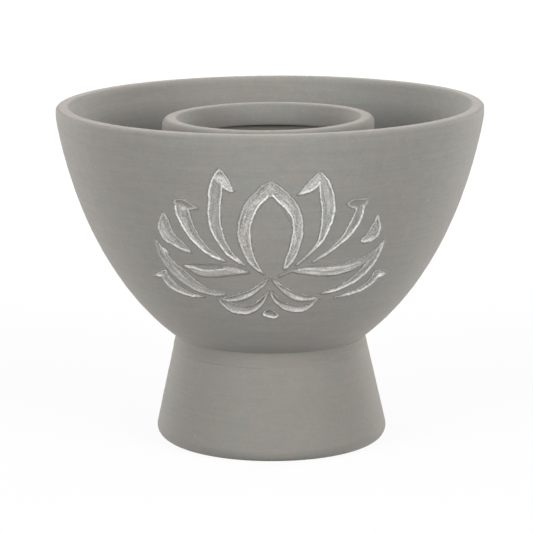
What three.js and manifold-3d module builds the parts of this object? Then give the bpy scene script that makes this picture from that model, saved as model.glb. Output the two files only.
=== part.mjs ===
// A hand-thrown terracotta smudge bowl: an open bowl luted to a hollow conical foot. A collar
// stands inside the bowl and makes a deep well, and a lotus is carved into the front of the wall,
// its grooves filled with white wash. Millimetres, +Z up, standing on z = 0. The lotus faces -Y.

import * as THREE from 'three';
import { mergeVertices } from 'three/addons/utils/BufferGeometryUtils.js';
import Module from 'manifold-3d';

const wasm = await Module();
wasm.setup();

// Bowl
const RIM_DIAMETER = 128;
const BOWL_HEIGHT = 70.4; // from the seam up to the rim
const BOWL_WALL = 4.2;
const BOWL_FLOOR = 6;
const BOWL_BASE_DIAMETER = 34; // the flat that the bowl stood on while it was thrown
const RIM_LEAN = THREE.MathUtils.degToRad(9.2); // how far the wall leans out below the lip

// Seam where the bowl is luted to the foot
const SEAM_HEIGHT = 31.6;
const SEAM_DIAMETER = 56.4;
const SEAT_WIDTH = 6;

// Foot
const FOOT_DIAMETER = 69.8;
const FOOT_EDGE_RADIUS = 3.3;
const FOOT_BASE_WIDTH = 8;

// Collar inside the bowl
const COLLAR_DIAMETER = 63.6;
const COLLAR_BELOW_RIM = 3.7;
const COLLAR_LIP = 4.2;
const COLLAR_LIP_HEIGHT = 7;
const COLLAR_WALL = 2.8; // thinner than the lip, so the lip overhangs the well

// Slip that lutes the pieces together
const SLIP_THICKNESS = 0.6;
const SLIP_BEAD = 0.5; // squeezed out past the foot's edge
const SLIP_SMEAR = 1.5; // wiped past the joint where it is out of sight
const CLEARANCE = 0.3;

// Carved lotus
const LOTUS_HEIGHT = 45.5;
const LOTUS_BELOW_RIM = 9.8;
const GROOVE_DEPTH = 1.2;
const GROOVE_STEEPNESS = 0.6; // depth for each mm of width, up to GROOVE_DEPTH
const GROOVE_FLOOR_SHARE = 0.5; // width of a groove's floor against its mouth
const TOOL_TIP = 0.2; // narrowest mark that the carving tool leaves
const CUTTER_ABOVE = 0.6;
const WASH_BELOW_WALL = 0.3;
const WASH_LEAST_WIDTH = 1.2; // narrower stretches of a groove hold no wash

// Roundness of the facets
const TURN_STEPS = 64;
const OUTSIDE_STEPS = 16;
const INSIDE_STEPS = 10;
const QUARTER_STEPS = 3;
const SEAT_STEPS = 2;
const STEPS_PER_POINT = 2;
const WELD_DISTANCE = 1e-3;
const HALVINGS = 40;

const CLAY = '#93908a';
const CLAY_INSIDE = '#8e8b86';
const SLIP = '#8a867f';
const WASH = '#d9d6cf';

// The lotus's carving passes, each a list of [across, height above the seam, width] on the wall.
const CENTRE_LEFT = [
  [-0.2, 55.1, 3.1], [-2.8, 53.3, 3.3], [-5.5, 49.3, 3.5], [-7.2, 44.5, 3.5],
  [-7.3, 39.5, 3], [-6.3, 35.4, 2.4], [-4.6, 32, 1.4], [-2, 29, 0.2],
];
const CENTRE_RIGHT = [
  [-0.2, 55.1, 3.1], [3, 53.8, 3.3], [5.9, 50.5, 3.1], [7.5, 46, 2.6],
  [7.7, 41.4, 2.6], [6.6, 36.4, 2.3], [5.3, 33.2, 1.9], [4.1, 31, 0.5],
];
const SECOND_LEFT = [
  [-7.3, 31.7, 0.2], [-11.6, 35.4, 1.6], [-14.2, 39.9, 2.4], [-15.6, 44.7, 3.2],
  [-15.9, 49.4, 3.5], [-15.6, 53.5, 3.6], [-14.9, 57.1, 2.8], [-14.3, 60.6, 0.2],
];
const SECOND_LEFT_BARB = [[-14.9, 57.4, 3], [-13.2, 56.6, 2.7], [-11.5, 55.1, 1.9], [-10.3, 54.2, 0.6]];
const SECOND_RIGHT = [
  [7.6, 31.7, 0.2], [11.4, 36, 0.7], [13.5, 38.4, 1.3], [15.3, 41.4, 2.2], [16.3, 45.3, 2.9],
  [16.4, 49.9, 3.5], [15.8, 54.1, 3.5], [14.9, 57.2, 2.4], [14.1, 59.8, 0.2],
];
const SECOND_RIGHT_BARB = [[14.6, 56.5, 2.9], [12.5, 56.1, 2.7], [10.4, 54.9, 2.1], [7.8, 53.4, 0.4]];
const THIRD_LEFT = [
  [-13, 32.7, 0.2], [-18.1, 35.8, 1.8], [-21.6, 39.2, 2.3], [-24, 42.9, 2.9],
  [-25.3, 46.4, 3.7], [-26, 48.9, 3.8], [-26.6, 50.4, 2.1],
];
const THIRD_LEFT_BARB = [[-27.4, 50.4, 0.7], [-25.2, 49.6, 2.6], [-22.9, 49, 1.8], [-20.8, 48.6, 0.3]];
const THIRD_RIGHT = [
  [12, 32.6, 0.2], [16, 35.4, 0.9], [19.3, 37.8, 1.4], [21.9, 40.7, 2.2],
  [24.1, 43.7, 2.7], [25.6, 46.9, 2.9], [26.4, 49.8, 2.2],
];
const THIRD_RIGHT_BARB = [[28.6, 50.9, 0.3], [26.5, 50.4, 2], [24.2, 49.8, 2.2], [21.4, 50, 0.3]];
const FOURTH_LEFT = [
  [-23, 34.9, 0.2], [-27.8, 37.5, 2.6], [-30.7, 40, 4.3],
  [-31.5, 42.4, 3.9], [-31.6, 44.3, 2.7], [-31.6, 45.8, 0.3],
];
const FOURTH_RIGHT = [
  [27.2, 38, 0.9], [29.2, 39.1, 2.9], [30.7, 40.9, 3.4], [31.6, 43.3, 2], [31.8, 45.8, 0.3],
];
const FIFTH_LEFT = [
  [-12.8, 21.6, 0.2], [-18, 22.4, 2.1], [-21.8, 23.9, 2.9], [-25.3, 26.3, 3.6],
  [-28.2, 28.9, 3.7], [-30.7, 31.7, 3.3], [-32.7, 34.4, 2.8], [-34.8, 37.3, 0.4],
];
const FIFTH_RIGHT = [
  [14.6, 22.1, 0.2], [17.9, 22.6, 1.3], [21.4, 23.7, 2.1], [24.7, 25.6, 2.8],
  [27.8, 27.9, 2.8], [30.7, 30.6, 2.2], [32.9, 34, 1.6], [34.4, 37.1, 0.3],
];
const SIXTH_LEFT = [
  [-19.6, 20.4, 0.2], [-24.1, 21, 1.4], [-28.2, 22.5, 2.3],
  [-31.1, 24.2, 3], [-32.5, 26.3, 2.2], [-31.8, 27.8, 0.4],
];
const SIXTH_LEFT_BARB = [[-37, 25.4, 0.2], [-34.5, 25.8, 1.5], [-32.1, 25.7, 2.3]];
const SIXTH_RIGHT = [
  [18.8, 20.3, 0.2], [23.6, 21.4, 1.1], [28.1, 22.9, 1.7],
  [31, 24.5, 2.6], [32.4, 26.3, 2.3], [31.8, 27.9, 0.5],
];
const SIXTH_RIGHT_BARB = [[36.5, 26.2, 0.2], [34.1, 26.3, 2.1], [31.8, 25.9, 2.4]];
const SEVENTH_LEFT = [
  [-5.9, 29.2, 0.3], [-8.9, 29.7, 2], [-12.4, 30.1, 2.5], [-15.9, 29.9, 2.4],
  [-19.5, 29.8, 2.5], [-22.9, 30.4, 1.6], [-26.3, 30.3, 0.4],
];
const SEVENTH_RIGHT = [
  [2.7, 28.2, 0.2], [5.6, 29.7, 0.5], [8.5, 30.1, 1.7], [12, 29.9, 2.8], [16.7, 29.7, 3.2],
  [21, 30.1, 3.1], [24.7, 31, 2.6], [27.2, 32, 1.4], [30, 33.6, 0.6], [32.6, 35.1, 0.3],
];
const WING_LEFT = [
  [-0.8, 27.3, 0.3], [-2.6, 25.4, 0.9], [-5, 23.3, 1.6],
  [-7.8, 21.6, 2.1], [-11.2, 20.4, 2.2], [-15.1, 20.1, 0.3],
];
const WING_RIGHT = [
  [0.8, 27, 0.3], [2.7, 24.9, 1], [5.2, 22.9, 1.8],
  [7.8, 21.4, 2.2], [10.6, 20.5, 2], [14.1, 20.7, 0.3],
];
const CURL_LEFT = [
  [-14.9, 20.1, 0.4], [-13.3, 18.7, 2], [-10.9, 17.2, 2.6], [-7.7, 16.8, 2.6],
  [-4.8, 18, 2.2], [-2.5, 20, 1.3], [-0.6, 23, 0.2],
];
const CURL_RIGHT = [
  [0.1, 23.4, 0.2], [1.3, 21.1, 1.5], [3.2, 19, 2.2], [6, 17.5, 2.3],
  [8.9, 17.1, 1.9], [11.6, 18.2, 1.3], [14, 20.5, 0.2],
];
const SEED = [[-1.9, 15.6, 0.8], [-0.6, 15.5, 2.4], [0.8, 15.2, 2.2], [2.3, 15.1, 0.5]];

const PETALS = {
  centre: [CENTRE_LEFT, CENTRE_RIGHT],
  second_left: [SECOND_LEFT, SECOND_LEFT_BARB],
  second_right: [SECOND_RIGHT, SECOND_RIGHT_BARB],
  third_left: [THIRD_LEFT, THIRD_LEFT_BARB],
  third_right: [THIRD_RIGHT, THIRD_RIGHT_BARB],
  fourth_left: [FOURTH_LEFT],
  fourth_right: [FOURTH_RIGHT],
  fifth_left: [FIFTH_LEFT],
  fifth_right: [FIFTH_RIGHT],
  sixth_left: [SIXTH_LEFT, SIXTH_LEFT_BARB],
  sixth_right: [SIXTH_RIGHT, SIXTH_RIGHT_BARB],
  seventh_left: [SEVENTH_LEFT],
  seventh_right: [SEVENTH_RIGHT],
  wing_left: [WING_LEFT],
  wing_right: [WING_RIGHT],
  curl_left: [CURL_LEFT],
  curl_right: [CURL_RIGHT],
  seed: [SEED],
};

// The bowl's outside is a slice of an ellipsoid that meets the round lip at RIM_LEAN and passes
// through the seam. An angle along it runs from the lip down to the axis, a quarter turn.
const RIM_HEIGHT = SEAM_HEIGHT + BOWL_HEIGHT;
const LIP_CENTRE = new THREE.Vector2((RIM_DIAMETER - BOWL_WALL) / 2, RIM_HEIGHT - BOWL_WALL / 2);
const WALL_TOP = new THREE.Vector2(Math.cos(RIM_LEAN), -Math.sin(RIM_LEAN))
  .multiplyScalar(BOWL_WALL / 2)
  .add(LIP_CENTRE);
const SEAM_RADIUS = SEAM_DIAMETER / 2;
const WALL_RISE = WALL_TOP.y - SEAM_HEIGHT;
const WALL_SPREAD = WALL_TOP.x ** 2 - SEAM_RADIUS ** 2 - 2 * WALL_RISE * WALL_TOP.x * Math.tan(RIM_LEAN);
const FLATTENING = WALL_SPREAD / WALL_RISE ** 2;
const CENTRE_ABOVE_TOP = (WALL_TOP.x * Math.tan(RIM_LEAN)) / FLATTENING;
const HALF_WIDTH = Math.sqrt(WALL_TOP.x ** 2 + FLATTENING * CENTRE_ABOVE_TOP ** 2);
const HALF_HEIGHT = HALF_WIDTH / Math.sqrt(FLATTENING);
const LIP_ANGLE = Math.asin(CENTRE_ABOVE_TOP / HALF_HEIGHT);

// Point on the wall's outside, moved out along the wall's normal by offset, as (radius, height).
function wallAt(angle, offset) {
  const normal = new THREE.Vector2(Math.cos(angle) / HALF_WIDTH, -Math.sin(angle) / HALF_HEIGHT).normalize();
  const radius = HALF_WIDTH * Math.cos(angle) + offset * normal.x;
  const height = WALL_TOP.y + CENTRE_ABOVE_TOP - HALF_HEIGHT * Math.sin(angle) + offset * normal.y;
  return new THREE.Vector2(radius, height);
}

// Angle along the wall where a measure that falls from the lip to the axis reaches zero.
function angleWhere(measure) {
  let low = LIP_ANGLE;
  let high = Math.PI / 2;
  for (let halving = 0; halving < HALVINGS; halving += 1) {
    const middle = (low + high) / 2;
    if (measure(middle) > 0) {
      low = middle;
    } else {
      high = middle;
    }
  }
  return (low + high) / 2;
}

function angleAtRadius(radius, offset) {
  return angleWhere((angle) => wallAt(angle, offset).x - radius);
}

function angleAtHeight(height, offset) {
  return angleWhere((angle) => wallAt(angle, offset).y - height);
}

function wallRun(fromAngle, toAngle, offset, steps) {
  const run = [];
  for (let step = 0; step <= steps; step += 1) {
    run.push(wallAt(THREE.MathUtils.lerp(fromAngle, toAngle, step / steps), offset));
  }
  return run;
}

function arcRun(centre, radius, fromAngle, toAngle, steps) {
  const run = [];
  for (let step = 0; step <= steps; step += 1) {
    const angle = THREE.MathUtils.lerp(fromAngle, toAngle, step / steps);
    run.push(new THREE.Vector2(Math.cos(angle), Math.sin(angle)).multiplyScalar(radius).add(centre));
  }
  return run;
}

// Profile of (radius, height) points turned about the upright axis.
function turned(profile) {
  return new THREE.LatheGeometry(profile, TURN_STEPS).rotateX(Math.PI / 2);
}

function closedRing(profile) {
  return turned([...profile, profile[0].clone()]);
}

function solidOf(geometry) {
  const bare = geometry.clone();
  bare.deleteAttribute('normal');
  bare.deleteAttribute('uv');
  const welded = mergeVertices(bare, WELD_DISTANCE);
  const corners = [];
  for (let first = 0; first < welded.index.count; first += 3) {
    const [a, b, c] = [0, 1, 2].map((corner) => welded.index.getX(first + corner));
    if (a !== b && b !== c && c !== a) {
      corners.push(a, b, c);
    }
  }
  const vertProperties = new Float32Array(welded.attributes.position.array);
  return new wasm.Manifold(new wasm.Mesh({ numProp: 3, vertProperties, triVerts: new Uint32Array(corners) }));
}

function geometryOf(solid) {
  const { numProp, vertProperties, triVerts } = solid.getMesh();
  const positions = [];
  for (let start = 0; start < vertProperties.length; start += numProp) {
    positions.push(vertProperties[start], vertProperties[start + 1], vertProperties[start + 2]);
  }
  const geometry = new THREE.BufferGeometry();
  geometry.setAttribute('position', new THREE.Float32BufferAttribute(positions, 3));
  geometry.setIndex([...triVerts]);
  geometry.computeVertexNormals();
  return geometry;
}

// Lotus
const PASSES = Object.values(PETALS).flat();
const PASS_HEIGHTS = PASSES.flat().map(([, up]) => up);
const LOTUS_LOW = Math.min(...PASS_HEIGHTS);
const LOTUS_DRAWN_HEIGHT = Math.max(...PASS_HEIGHTS) - LOTUS_LOW;
const LOTUS_SCALE = LOTUS_HEIGHT / LOTUS_DRAWN_HEIGHT;
const LOTUS_ABOVE_SEAM = BOWL_HEIGHT - LOTUS_BELOW_RIM - LOTUS_HEIGHT;

// Point over the wall, from the distance across it and the height above the seam.
function onWall(across, up, outward) {
  const angle = angleAtHeight(SEAM_HEIGHT + up, 0);
  const point = wallAt(angle, outward);
  const turn = across / wallAt(angle, 0).x;
  return new THREE.Vector3(point.x * Math.sin(turn), -point.x * Math.cos(turn), point.y);
}

// Stations along a carving pass: where it is, which way is square to it, and how wide it is.
function stationsOf(pass) {
  const drawn = pass.map(([across, up, width]) => new THREE.Vector3(
    across * LOTUS_SCALE,
    LOTUS_ABOVE_SEAM + (up - LOTUS_LOW) * LOTUS_SCALE,
    width * LOTUS_SCALE,
  ));
  const path = new THREE.CatmullRomCurve3(drawn);
  const steps = (pass.length - 1) * STEPS_PER_POINT;
  const stations = [];
  for (let step = 0; step <= steps; step += 1) {
    const point = path.getPoint(step / steps);
    const along = path.getTangent(step / steps);
    const square = new THREE.Vector2(-along.y, along.x).normalize();
    stations.push({ point, square, width: Math.max(point.z, TOOL_TIP) });
  }
  return stations;
}

function grooveDepth(width) {
  return Math.min(GROOVE_DEPTH, width * GROOVE_STEEPNESS);
}

function grooveHalfWidth(width, depth) {
  return (width / 2) * THREE.MathUtils.lerp(1, GROOVE_FLOOR_SHARE, depth / grooveDepth(width));
}

// Sections as [sideways, outward] corners, going round the pass.
function grooveSection(width) {
  const mouth = width / 2;
  const depth = grooveDepth(width);
  const floor = grooveHalfWidth(width, depth);
  return [
    [mouth, CUTTER_ABOVE], [-mouth, CUTTER_ABOVE], [-mouth, 0],
    [-floor, -depth], [floor, -depth], [mouth, 0],
  ];
}

function washSection(width) {
  const low = grooveDepth(width) - CLEARANCE;
  const top = grooveHalfWidth(width, WASH_BELOW_WALL) - CLEARANCE;
  const bottom = grooveHalfWidth(width, low) - CLEARANCE;
  return [[top, -WASH_BELOW_WALL], [-top, -WASH_BELOW_WALL], [-bottom, -low], [bottom, -low]];
}

// Closed solid that carries a section from station to station.
function lofted(stations, sectionOf) {
  const positions = [];
  const triangles = [];
  const corners = sectionOf(stations[0].width).length;
  stations.forEach(({ point, square, width }) => {
    sectionOf(width).forEach(([sideways, outward]) => {
      const across = point.x + square.x * sideways;
      const up = point.y + square.y * sideways;
      positions.push(...onWall(across, up, outward).toArray());
    });
  });
  for (let station = 0; station < stations.length - 1; station += 1) {
    for (let corner = 0; corner < corners; corner += 1) {
      const here = station * corners + corner;
      const beside = station * corners + ((corner + 1) % corners);
      triangles.push(here, beside, here + corners, beside, beside + corners, here + corners);
    }
  }
  const last = (stations.length - 1) * corners;
  for (let corner = 1; corner < corners - 1; corner += 1) {
    triangles.push(0, corner + 1, corner);
    triangles.push(last, last + corner, last + corner + 1);
  }
  const geometry = new THREE.BufferGeometry();
  geometry.setAttribute('position', new THREE.Float32BufferAttribute(positions, 3));
  geometry.setIndex(triangles);
  return solidOf(geometry);
}

function washSolid(passes) {
  const held = passes
    .map((pass) => stationsOf(pass).filter(({ width }) => width >= WASH_LEAST_WIDTH))
    .filter((stations) => stations.length > 1);
  return held.map((stations) => lofted(stations, washSection)).reduce((joined, solid) => joined.add(solid));
}

// Bowl
const BASE_ANGLE = angleAtRadius(BOWL_BASE_DIAMETER / 2, 0);
const BASE_HEIGHT = wallAt(BASE_ANGLE, 0).y;
const FLOOR_HEIGHT = BASE_HEIGHT + BOWL_FLOOR;

function bowlGeometry() {
  const profile = [
    new THREE.Vector2(0, BASE_HEIGHT),
    ...wallRun(BASE_ANGLE, LIP_ANGLE, 0, OUTSIDE_STEPS),
    ...arcRun(LIP_CENTRE, BOWL_WALL / 2, 0, Math.PI / 2, QUARTER_STEPS),
    ...arcRun(LIP_CENTRE, BOWL_WALL / 2, Math.PI / 2, Math.PI - RIM_LEAN, QUARTER_STEPS).slice(1, -1),
    ...wallRun(LIP_ANGLE, angleAtHeight(FLOOR_HEIGHT, -BOWL_WALL), -BOWL_WALL, INSIDE_STEPS),
    new THREE.Vector2(0, FLOOR_HEIGHT),
  ];
  const shell = solidOf(turned(profile));
  const grooves = PASSES.map((pass) => lofted(stationsOf(pass), grooveSection));
  return geometryOf(grooves.reduce((carved, groove) => carved.subtract(groove), shell));
}

// Foot
const LUTED_GAP = CLEARANCE + SLIP_THICKNESS + CLEARANCE;
const SEAT_OUTER_ANGLE = angleAtRadius(SEAM_RADIUS, 0);
const SEAT_INNER_ANGLE = angleAtRadius(SEAM_RADIUS - SEAT_WIDTH, 0);

function footGeometry() {
  const seat = wallRun(SEAT_OUTER_ANGLE, SEAT_INNER_ANGLE, LUTED_GAP, SEAT_STEPS);
  const baseRadius = FOOT_DIAMETER / 2;
  const edgeCentre = new THREE.Vector2(baseRadius - FOOT_EDGE_RADIUS, FOOT_EDGE_RADIUS);
  const toEdge = edgeCentre.clone().sub(seat[0]);
  const coneAngle = toEdge.angle() + Math.asin(FOOT_EDGE_RADIUS / toEdge.length());
  const meetsCone = coneAngle + Math.PI / 2 - 2 * Math.PI;
  return closedRing([
    ...seat,
    new THREE.Vector2(baseRadius - FOOT_BASE_WIDTH, 0),
    ...arcRun(edgeCentre, FOOT_EDGE_RADIUS, -Math.PI / 2, 0, QUARTER_STEPS),
    ...arcRun(edgeCentre, FOOT_EDGE_RADIUS, 0, meetsCone, 1).slice(1),
  ]);
}

// Collar
function collarGeometry() {
  const outer = COLLAR_DIAMETER / 2;
  const lipInner = outer - COLLAR_LIP;
  const wellRadius = outer - COLLAR_WALL;
  const top = RIM_HEIGHT - COLLAR_BELOW_RIM;
  const lipCentre = new THREE.Vector2(outer - COLLAR_LIP / 2, top - COLLAR_LIP / 2);
  const seatOffset = -BOWL_WALL - LUTED_GAP;
  const seatInnerAngle = angleAtRadius(wellRadius, seatOffset);
  const seatOuterAngle = angleAtRadius(outer, seatOffset);
  return closedRing([
    ...wallRun(seatInnerAngle, seatOuterAngle, seatOffset, SEAT_STEPS),
    ...arcRun(lipCentre, COLLAR_LIP / 2, 0, Math.PI, 2 * QUARTER_STEPS),
    new THREE.Vector2(lipInner, top - COLLAR_LIP_HEIGHT),
    new THREE.Vector2(wellRadius, top - COLLAR_LIP_HEIGHT),
  ]);
}

// Slip, as a thin layer between two offsets of the bowl's wall
function slipGeometry(outerRadius, innerRadius, nearOffset) {
  const farOffset = nearOffset + SLIP_THICKNESS;
  const outerAngle = angleAtRadius(outerRadius, 0);
  const innerAngle = angleAtRadius(innerRadius, 0);
  return closedRing([
    ...wallRun(innerAngle, outerAngle, farOffset, SEAT_STEPS),
    ...wallRun(outerAngle, innerAngle, nearOffset, SEAT_STEPS),
  ]);
}

function footSlipGeometry() {
  return slipGeometry(SEAM_RADIUS + SLIP_BEAD, SEAM_RADIUS - SEAT_WIDTH - SLIP_SMEAR, CLEARANCE);
}

function collarSlipGeometry() {
  const nearOffset = -BOWL_WALL - CLEARANCE - SLIP_THICKNESS;
  const outer = wallAt(angleAtRadius(COLLAR_DIAMETER / 2 + SLIP_SMEAR, nearOffset), 0).x;
  const inner = wallAt(angleAtRadius(COLLAR_DIAMETER / 2 - COLLAR_WALL - SLIP_SMEAR, nearOffset), 0).x;
  return slipGeometry(outer, inner, nearOffset);
}

const smudgeBowl = new THREE.Group();

function addPiece(name, geometry, color) {
  const material = new THREE.MeshStandardMaterial({ color, roughness: 0.95, metalness: 0 });
  const piece = new THREE.Mesh(geometry, material);
  piece.name = name;
  smudgeBowl.add(piece);
}

addPiece('bowl', bowlGeometry(), CLAY);
addPiece('foot', footGeometry(), CLAY);
addPiece('collar', collarGeometry(), CLAY_INSIDE);
addPiece('foot_slip', footSlipGeometry(), SLIP);
addPiece('collar_slip', collarSlipGeometry(), SLIP);
Object.entries(PETALS).forEach(([petal, passes]) => {
  addPiece(`white_wash_${petal}`, geometryOf(washSolid(passes)), WASH);
});

export default smudgeBowl;
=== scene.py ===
import math

import bpy
import numpy as np
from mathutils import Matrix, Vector, noise


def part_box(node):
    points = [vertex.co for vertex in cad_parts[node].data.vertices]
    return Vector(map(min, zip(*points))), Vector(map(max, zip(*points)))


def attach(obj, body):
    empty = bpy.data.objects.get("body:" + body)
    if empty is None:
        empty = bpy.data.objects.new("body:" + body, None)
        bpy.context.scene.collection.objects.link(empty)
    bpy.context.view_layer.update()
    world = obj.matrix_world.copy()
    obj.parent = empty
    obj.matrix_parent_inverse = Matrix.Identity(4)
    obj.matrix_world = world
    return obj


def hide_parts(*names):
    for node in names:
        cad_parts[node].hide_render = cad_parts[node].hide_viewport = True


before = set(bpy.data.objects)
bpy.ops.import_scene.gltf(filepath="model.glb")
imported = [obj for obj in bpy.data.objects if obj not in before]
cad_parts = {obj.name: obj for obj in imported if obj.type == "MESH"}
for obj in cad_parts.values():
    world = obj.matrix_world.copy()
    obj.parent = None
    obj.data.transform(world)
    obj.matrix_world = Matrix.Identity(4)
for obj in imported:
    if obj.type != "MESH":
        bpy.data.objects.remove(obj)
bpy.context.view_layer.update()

bpy.context.scene.view_settings.view_transform = "Standard"

# Thrown bowl
# One wall of grey clay pulled up on the wheel, with a sponged round lip and a flat base. It is
# fired without glaze, so it is dry and matte, with the level marks that fingers leave in turning.
MM = 0.001
bowl_low, bowl_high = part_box("bowl")
RIM_RADIUS = bowl_high.x / MM
RIM_HEIGHT = bowl_high.z / MM
BASE_HEIGHT = bowl_low.z / MM
BASE_RADIUS = 17
BOWL_WALL = 4.2
BOWL_FLOOR = 6
RIM_LEAN = math.radians(9.2)
SEAM_HEIGHT = 31.6
SEAM_RADIUS = 28.2
WALL_FULLNESS = 0.14
LIP_HEIGHT = 5.8
LIP_PULL = 2.2
LIP_SLOPE = math.radians(1)
LIP_OUTER_EDGE = 1.1
LIP_INNER_EDGE = 1.5
LIP_ROLL = 0.4
LIP_ROLL_HEIGHT = 4.5
LOTUS_TOP = 63
LOTUS_BOTTOM = 13
BASE_ROW = 2.5
CARVED_ROW = 0.34
PLAIN_ROW = 1.1
LIP_ROW = 0.42
EDGE_ROW = 0.2
INSIDE_ROW = 1.8
SPONGED = 3
ARC_STEPS = 60
BEND_STEPS = 80
CLIMB_STEPS = 400

lip_centre = np.array([RIM_RADIUS - BOWL_WALL / 2, RIM_HEIGHT - BOWL_WALL / 2])
wall_top = lip_centre + BOWL_WALL / 2 * np.array([math.cos(RIM_LEAN), -math.sin(RIM_LEAN)])
wall_rise = wall_top[1] - SEAM_HEIGHT
lean_spread = 2 * wall_rise * wall_top[0] * math.tan(RIM_LEAN)
flattening = (wall_top[0] ** 2 - SEAM_RADIUS ** 2 - lean_spread) / wall_rise ** 2
centre_above_top = wall_top[0] * math.tan(RIM_LEAN) / flattening
half_width = math.sqrt(wall_top[0] ** 2 + flattening * centre_above_top ** 2)
half_height = half_width / math.sqrt(flattening)
ellipse_height = wall_top[1] + centre_above_top


def wall_normal(height):
    """Outward (radius, height) directions of the bowl's wall at these heights."""
    sine = (ellipse_height - height) / half_height
    cosine = np.sqrt(1 - sine ** 2)
    normal = np.column_stack([cosine / half_width, -sine / half_height])
    return normal / np.linalg.norm(normal, axis=1, keepdims=True)


def wall_at(height, offset=0.0):
    """(radius, height) points of the wall's outside, a slice of an ellipsoid, moved out by offset."""
    sine = (ellipse_height - height) / half_height
    on_wall = np.column_stack([half_width * np.sqrt(1 - sine ** 2), height])
    return on_wall + offset * wall_normal(height)


def evenly(path, spacing):
    """Points about spacing apart along a path of (radius, height) points, with both ends kept."""
    path = np.asarray(path, float)
    run = np.concatenate([[0], np.cumsum(np.linalg.norm(np.diff(path, axis=0), axis=1))])
    stops = np.linspace(0, run[-1], max(1, round(run[-1] / spacing)) + 1)
    return np.column_stack([np.interp(stops, run, path[:, side]) for side in (0, 1)])


def arc(centre, radius, start, end):
    """Points round an arc from one angle to another."""
    angles = np.linspace(start, end, ARC_STEPS)
    return np.asarray(centre) + radius * np.column_stack([np.cos(angles), np.sin(angles)])


def swept(start, start_pull, end_pull, end):
    """Points along a smooth bend that leaves one point and reaches another as its two pulls say."""
    share = np.linspace(0, 1, BEND_STEPS)[:, None]
    rest = 1 - share
    corners = np.array([start, start + start_pull, end + end_pull, end])
    weights = np.hstack([rest ** 3, 3 * share * rest ** 2, 3 * share ** 2 * rest, share ** 3])
    return weights @ corners


def softened(path, passes):
    """A path whose corners are rubbed down, as a wet sponge leaves them."""
    path = path.copy()
    for _ in range(passes):
        path[1:-1] = (path[:-2] + 2 * path[1:-1] + path[2:]) / 4
    return path


def joined(*paths):
    """Paths that meet end to end, as one."""
    return np.concatenate([paths[0]] + [path[1:] for path in paths[1:]])


def climb(low, high, offset=0.0):
    """The wall from one height to another, as a fine path."""
    return wall_at(np.linspace(low, high, CLIMB_STEPS), offset)


def add_node(tree, kind, inputs=None, **settings):
    """Adds a node with its settings; an input is a constant or another node's output."""
    made = tree.nodes.new(kind)
    for name, value in settings.items():
        setattr(made, name, value)
    for name, value in (inputs or {}).items():
        if isinstance(value, bpy.types.NodeSocket):
            tree.links.new(value, made.inputs[name])
        else:
            made.inputs[name].default_value = value
    return made.outputs


# The wheel: a profile carried round the axis on a grid of rows and columns, then pushed in and out
# by the turning marks and by how far the piece is out of round and off level.
wheel = bpy.data.node_groups.new("turned_on_the_wheel", "GeometryNodeTree")
WHEEL_INPUTS = {
    "Profile": ("NodeSocketGeometry", None),
    "Columns": ("NodeSocketInt", 256),
    "Front columns share": ("NodeSocketFloat", 0.5),
    "Front half angle": ("NodeSocketFloat", math.pi / 2),
    "Mark height": ("NodeSocketFloat", 0.04 * MM),
    "Mark pitch": ("NodeSocketFloat", 2.6 * MM),
    "Mark length": ("NodeSocketFloat", 45 * MM),
    "Out of round": ("NodeSocketFloat", 0.25 * MM),
    "Tilt": ("NodeSocketFloat", 0.0),
    "Tilt from": ("NodeSocketFloat", 0.0),
    "Tilt to": ("NodeSocketFloat", 0.1),
    "Off centre": ("NodeSocketFloat", 0.0),
    "Lean": ("NodeSocketFloat", 0.0),
    "Seed": ("NodeSocketInt", 1),
    "Clay": ("NodeSocketMaterial", None),
}
wheel_sockets = {}
for socket_name, (socket_kind, usual) in WHEEL_INPUTS.items():
    made_socket = wheel.interface.new_socket(socket_name, in_out="INPUT", socket_type=socket_kind)
    if usual is not None:
        made_socket.default_value = usual
    wheel_sockets[socket_name] = made_socket.identifier
wheel.interface.new_socket("Turned", in_out="OUTPUT", socket_type="NodeSocketGeometry")

WELD = 0.001 * MM
OUT_OF_ROUND_SIZE = 60 * MM
RIPPLE_LOW = 0.3
RIPPLE_HIGH = 0.7
# The lowest place that a point may have: at any side, but not below the bench it was set down on.
BENCH = (-1.0, -1.0, 0.0)
given = add_node(wheel, "NodeGroupInput")
front_share = given["Front columns share"]
front_angle = given["Front half angle"]
rows = add_node(wheel, "GeometryNodeAttributeDomainSize", {0: given["Profile"]})["Point Count"]
column_count = add_node(wheel, "ShaderNodeMath", {0: given["Columns"], 1: 1.0}, operation="ADD")[0]
grid = add_node(wheel, "GeometryNodeMeshGrid", {
    "Size X": 2.0,
    "Size Y": 1.0,
    "Vertices X": column_count,
    "Vertices Y": rows,
})["Mesh"]
index = add_node(wheel, "GeometryNodeInputIndex")[0]
row = add_node(wheel, "ShaderNodeMath", {0: index, 1: rows}, operation="MODULO")[0]
place = add_node(wheel, "GeometryNodeInputPosition")[0]
parts = add_node(wheel, "ShaderNodeSeparateXYZ", {0: place})
on_profile = add_node(wheel, "GeometryNodeSampleIndex", {
    "Geometry": given["Profile"],
    "Value": place,
    "Index": row,
}, data_type="FLOAT_VECTOR")[0]

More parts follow.
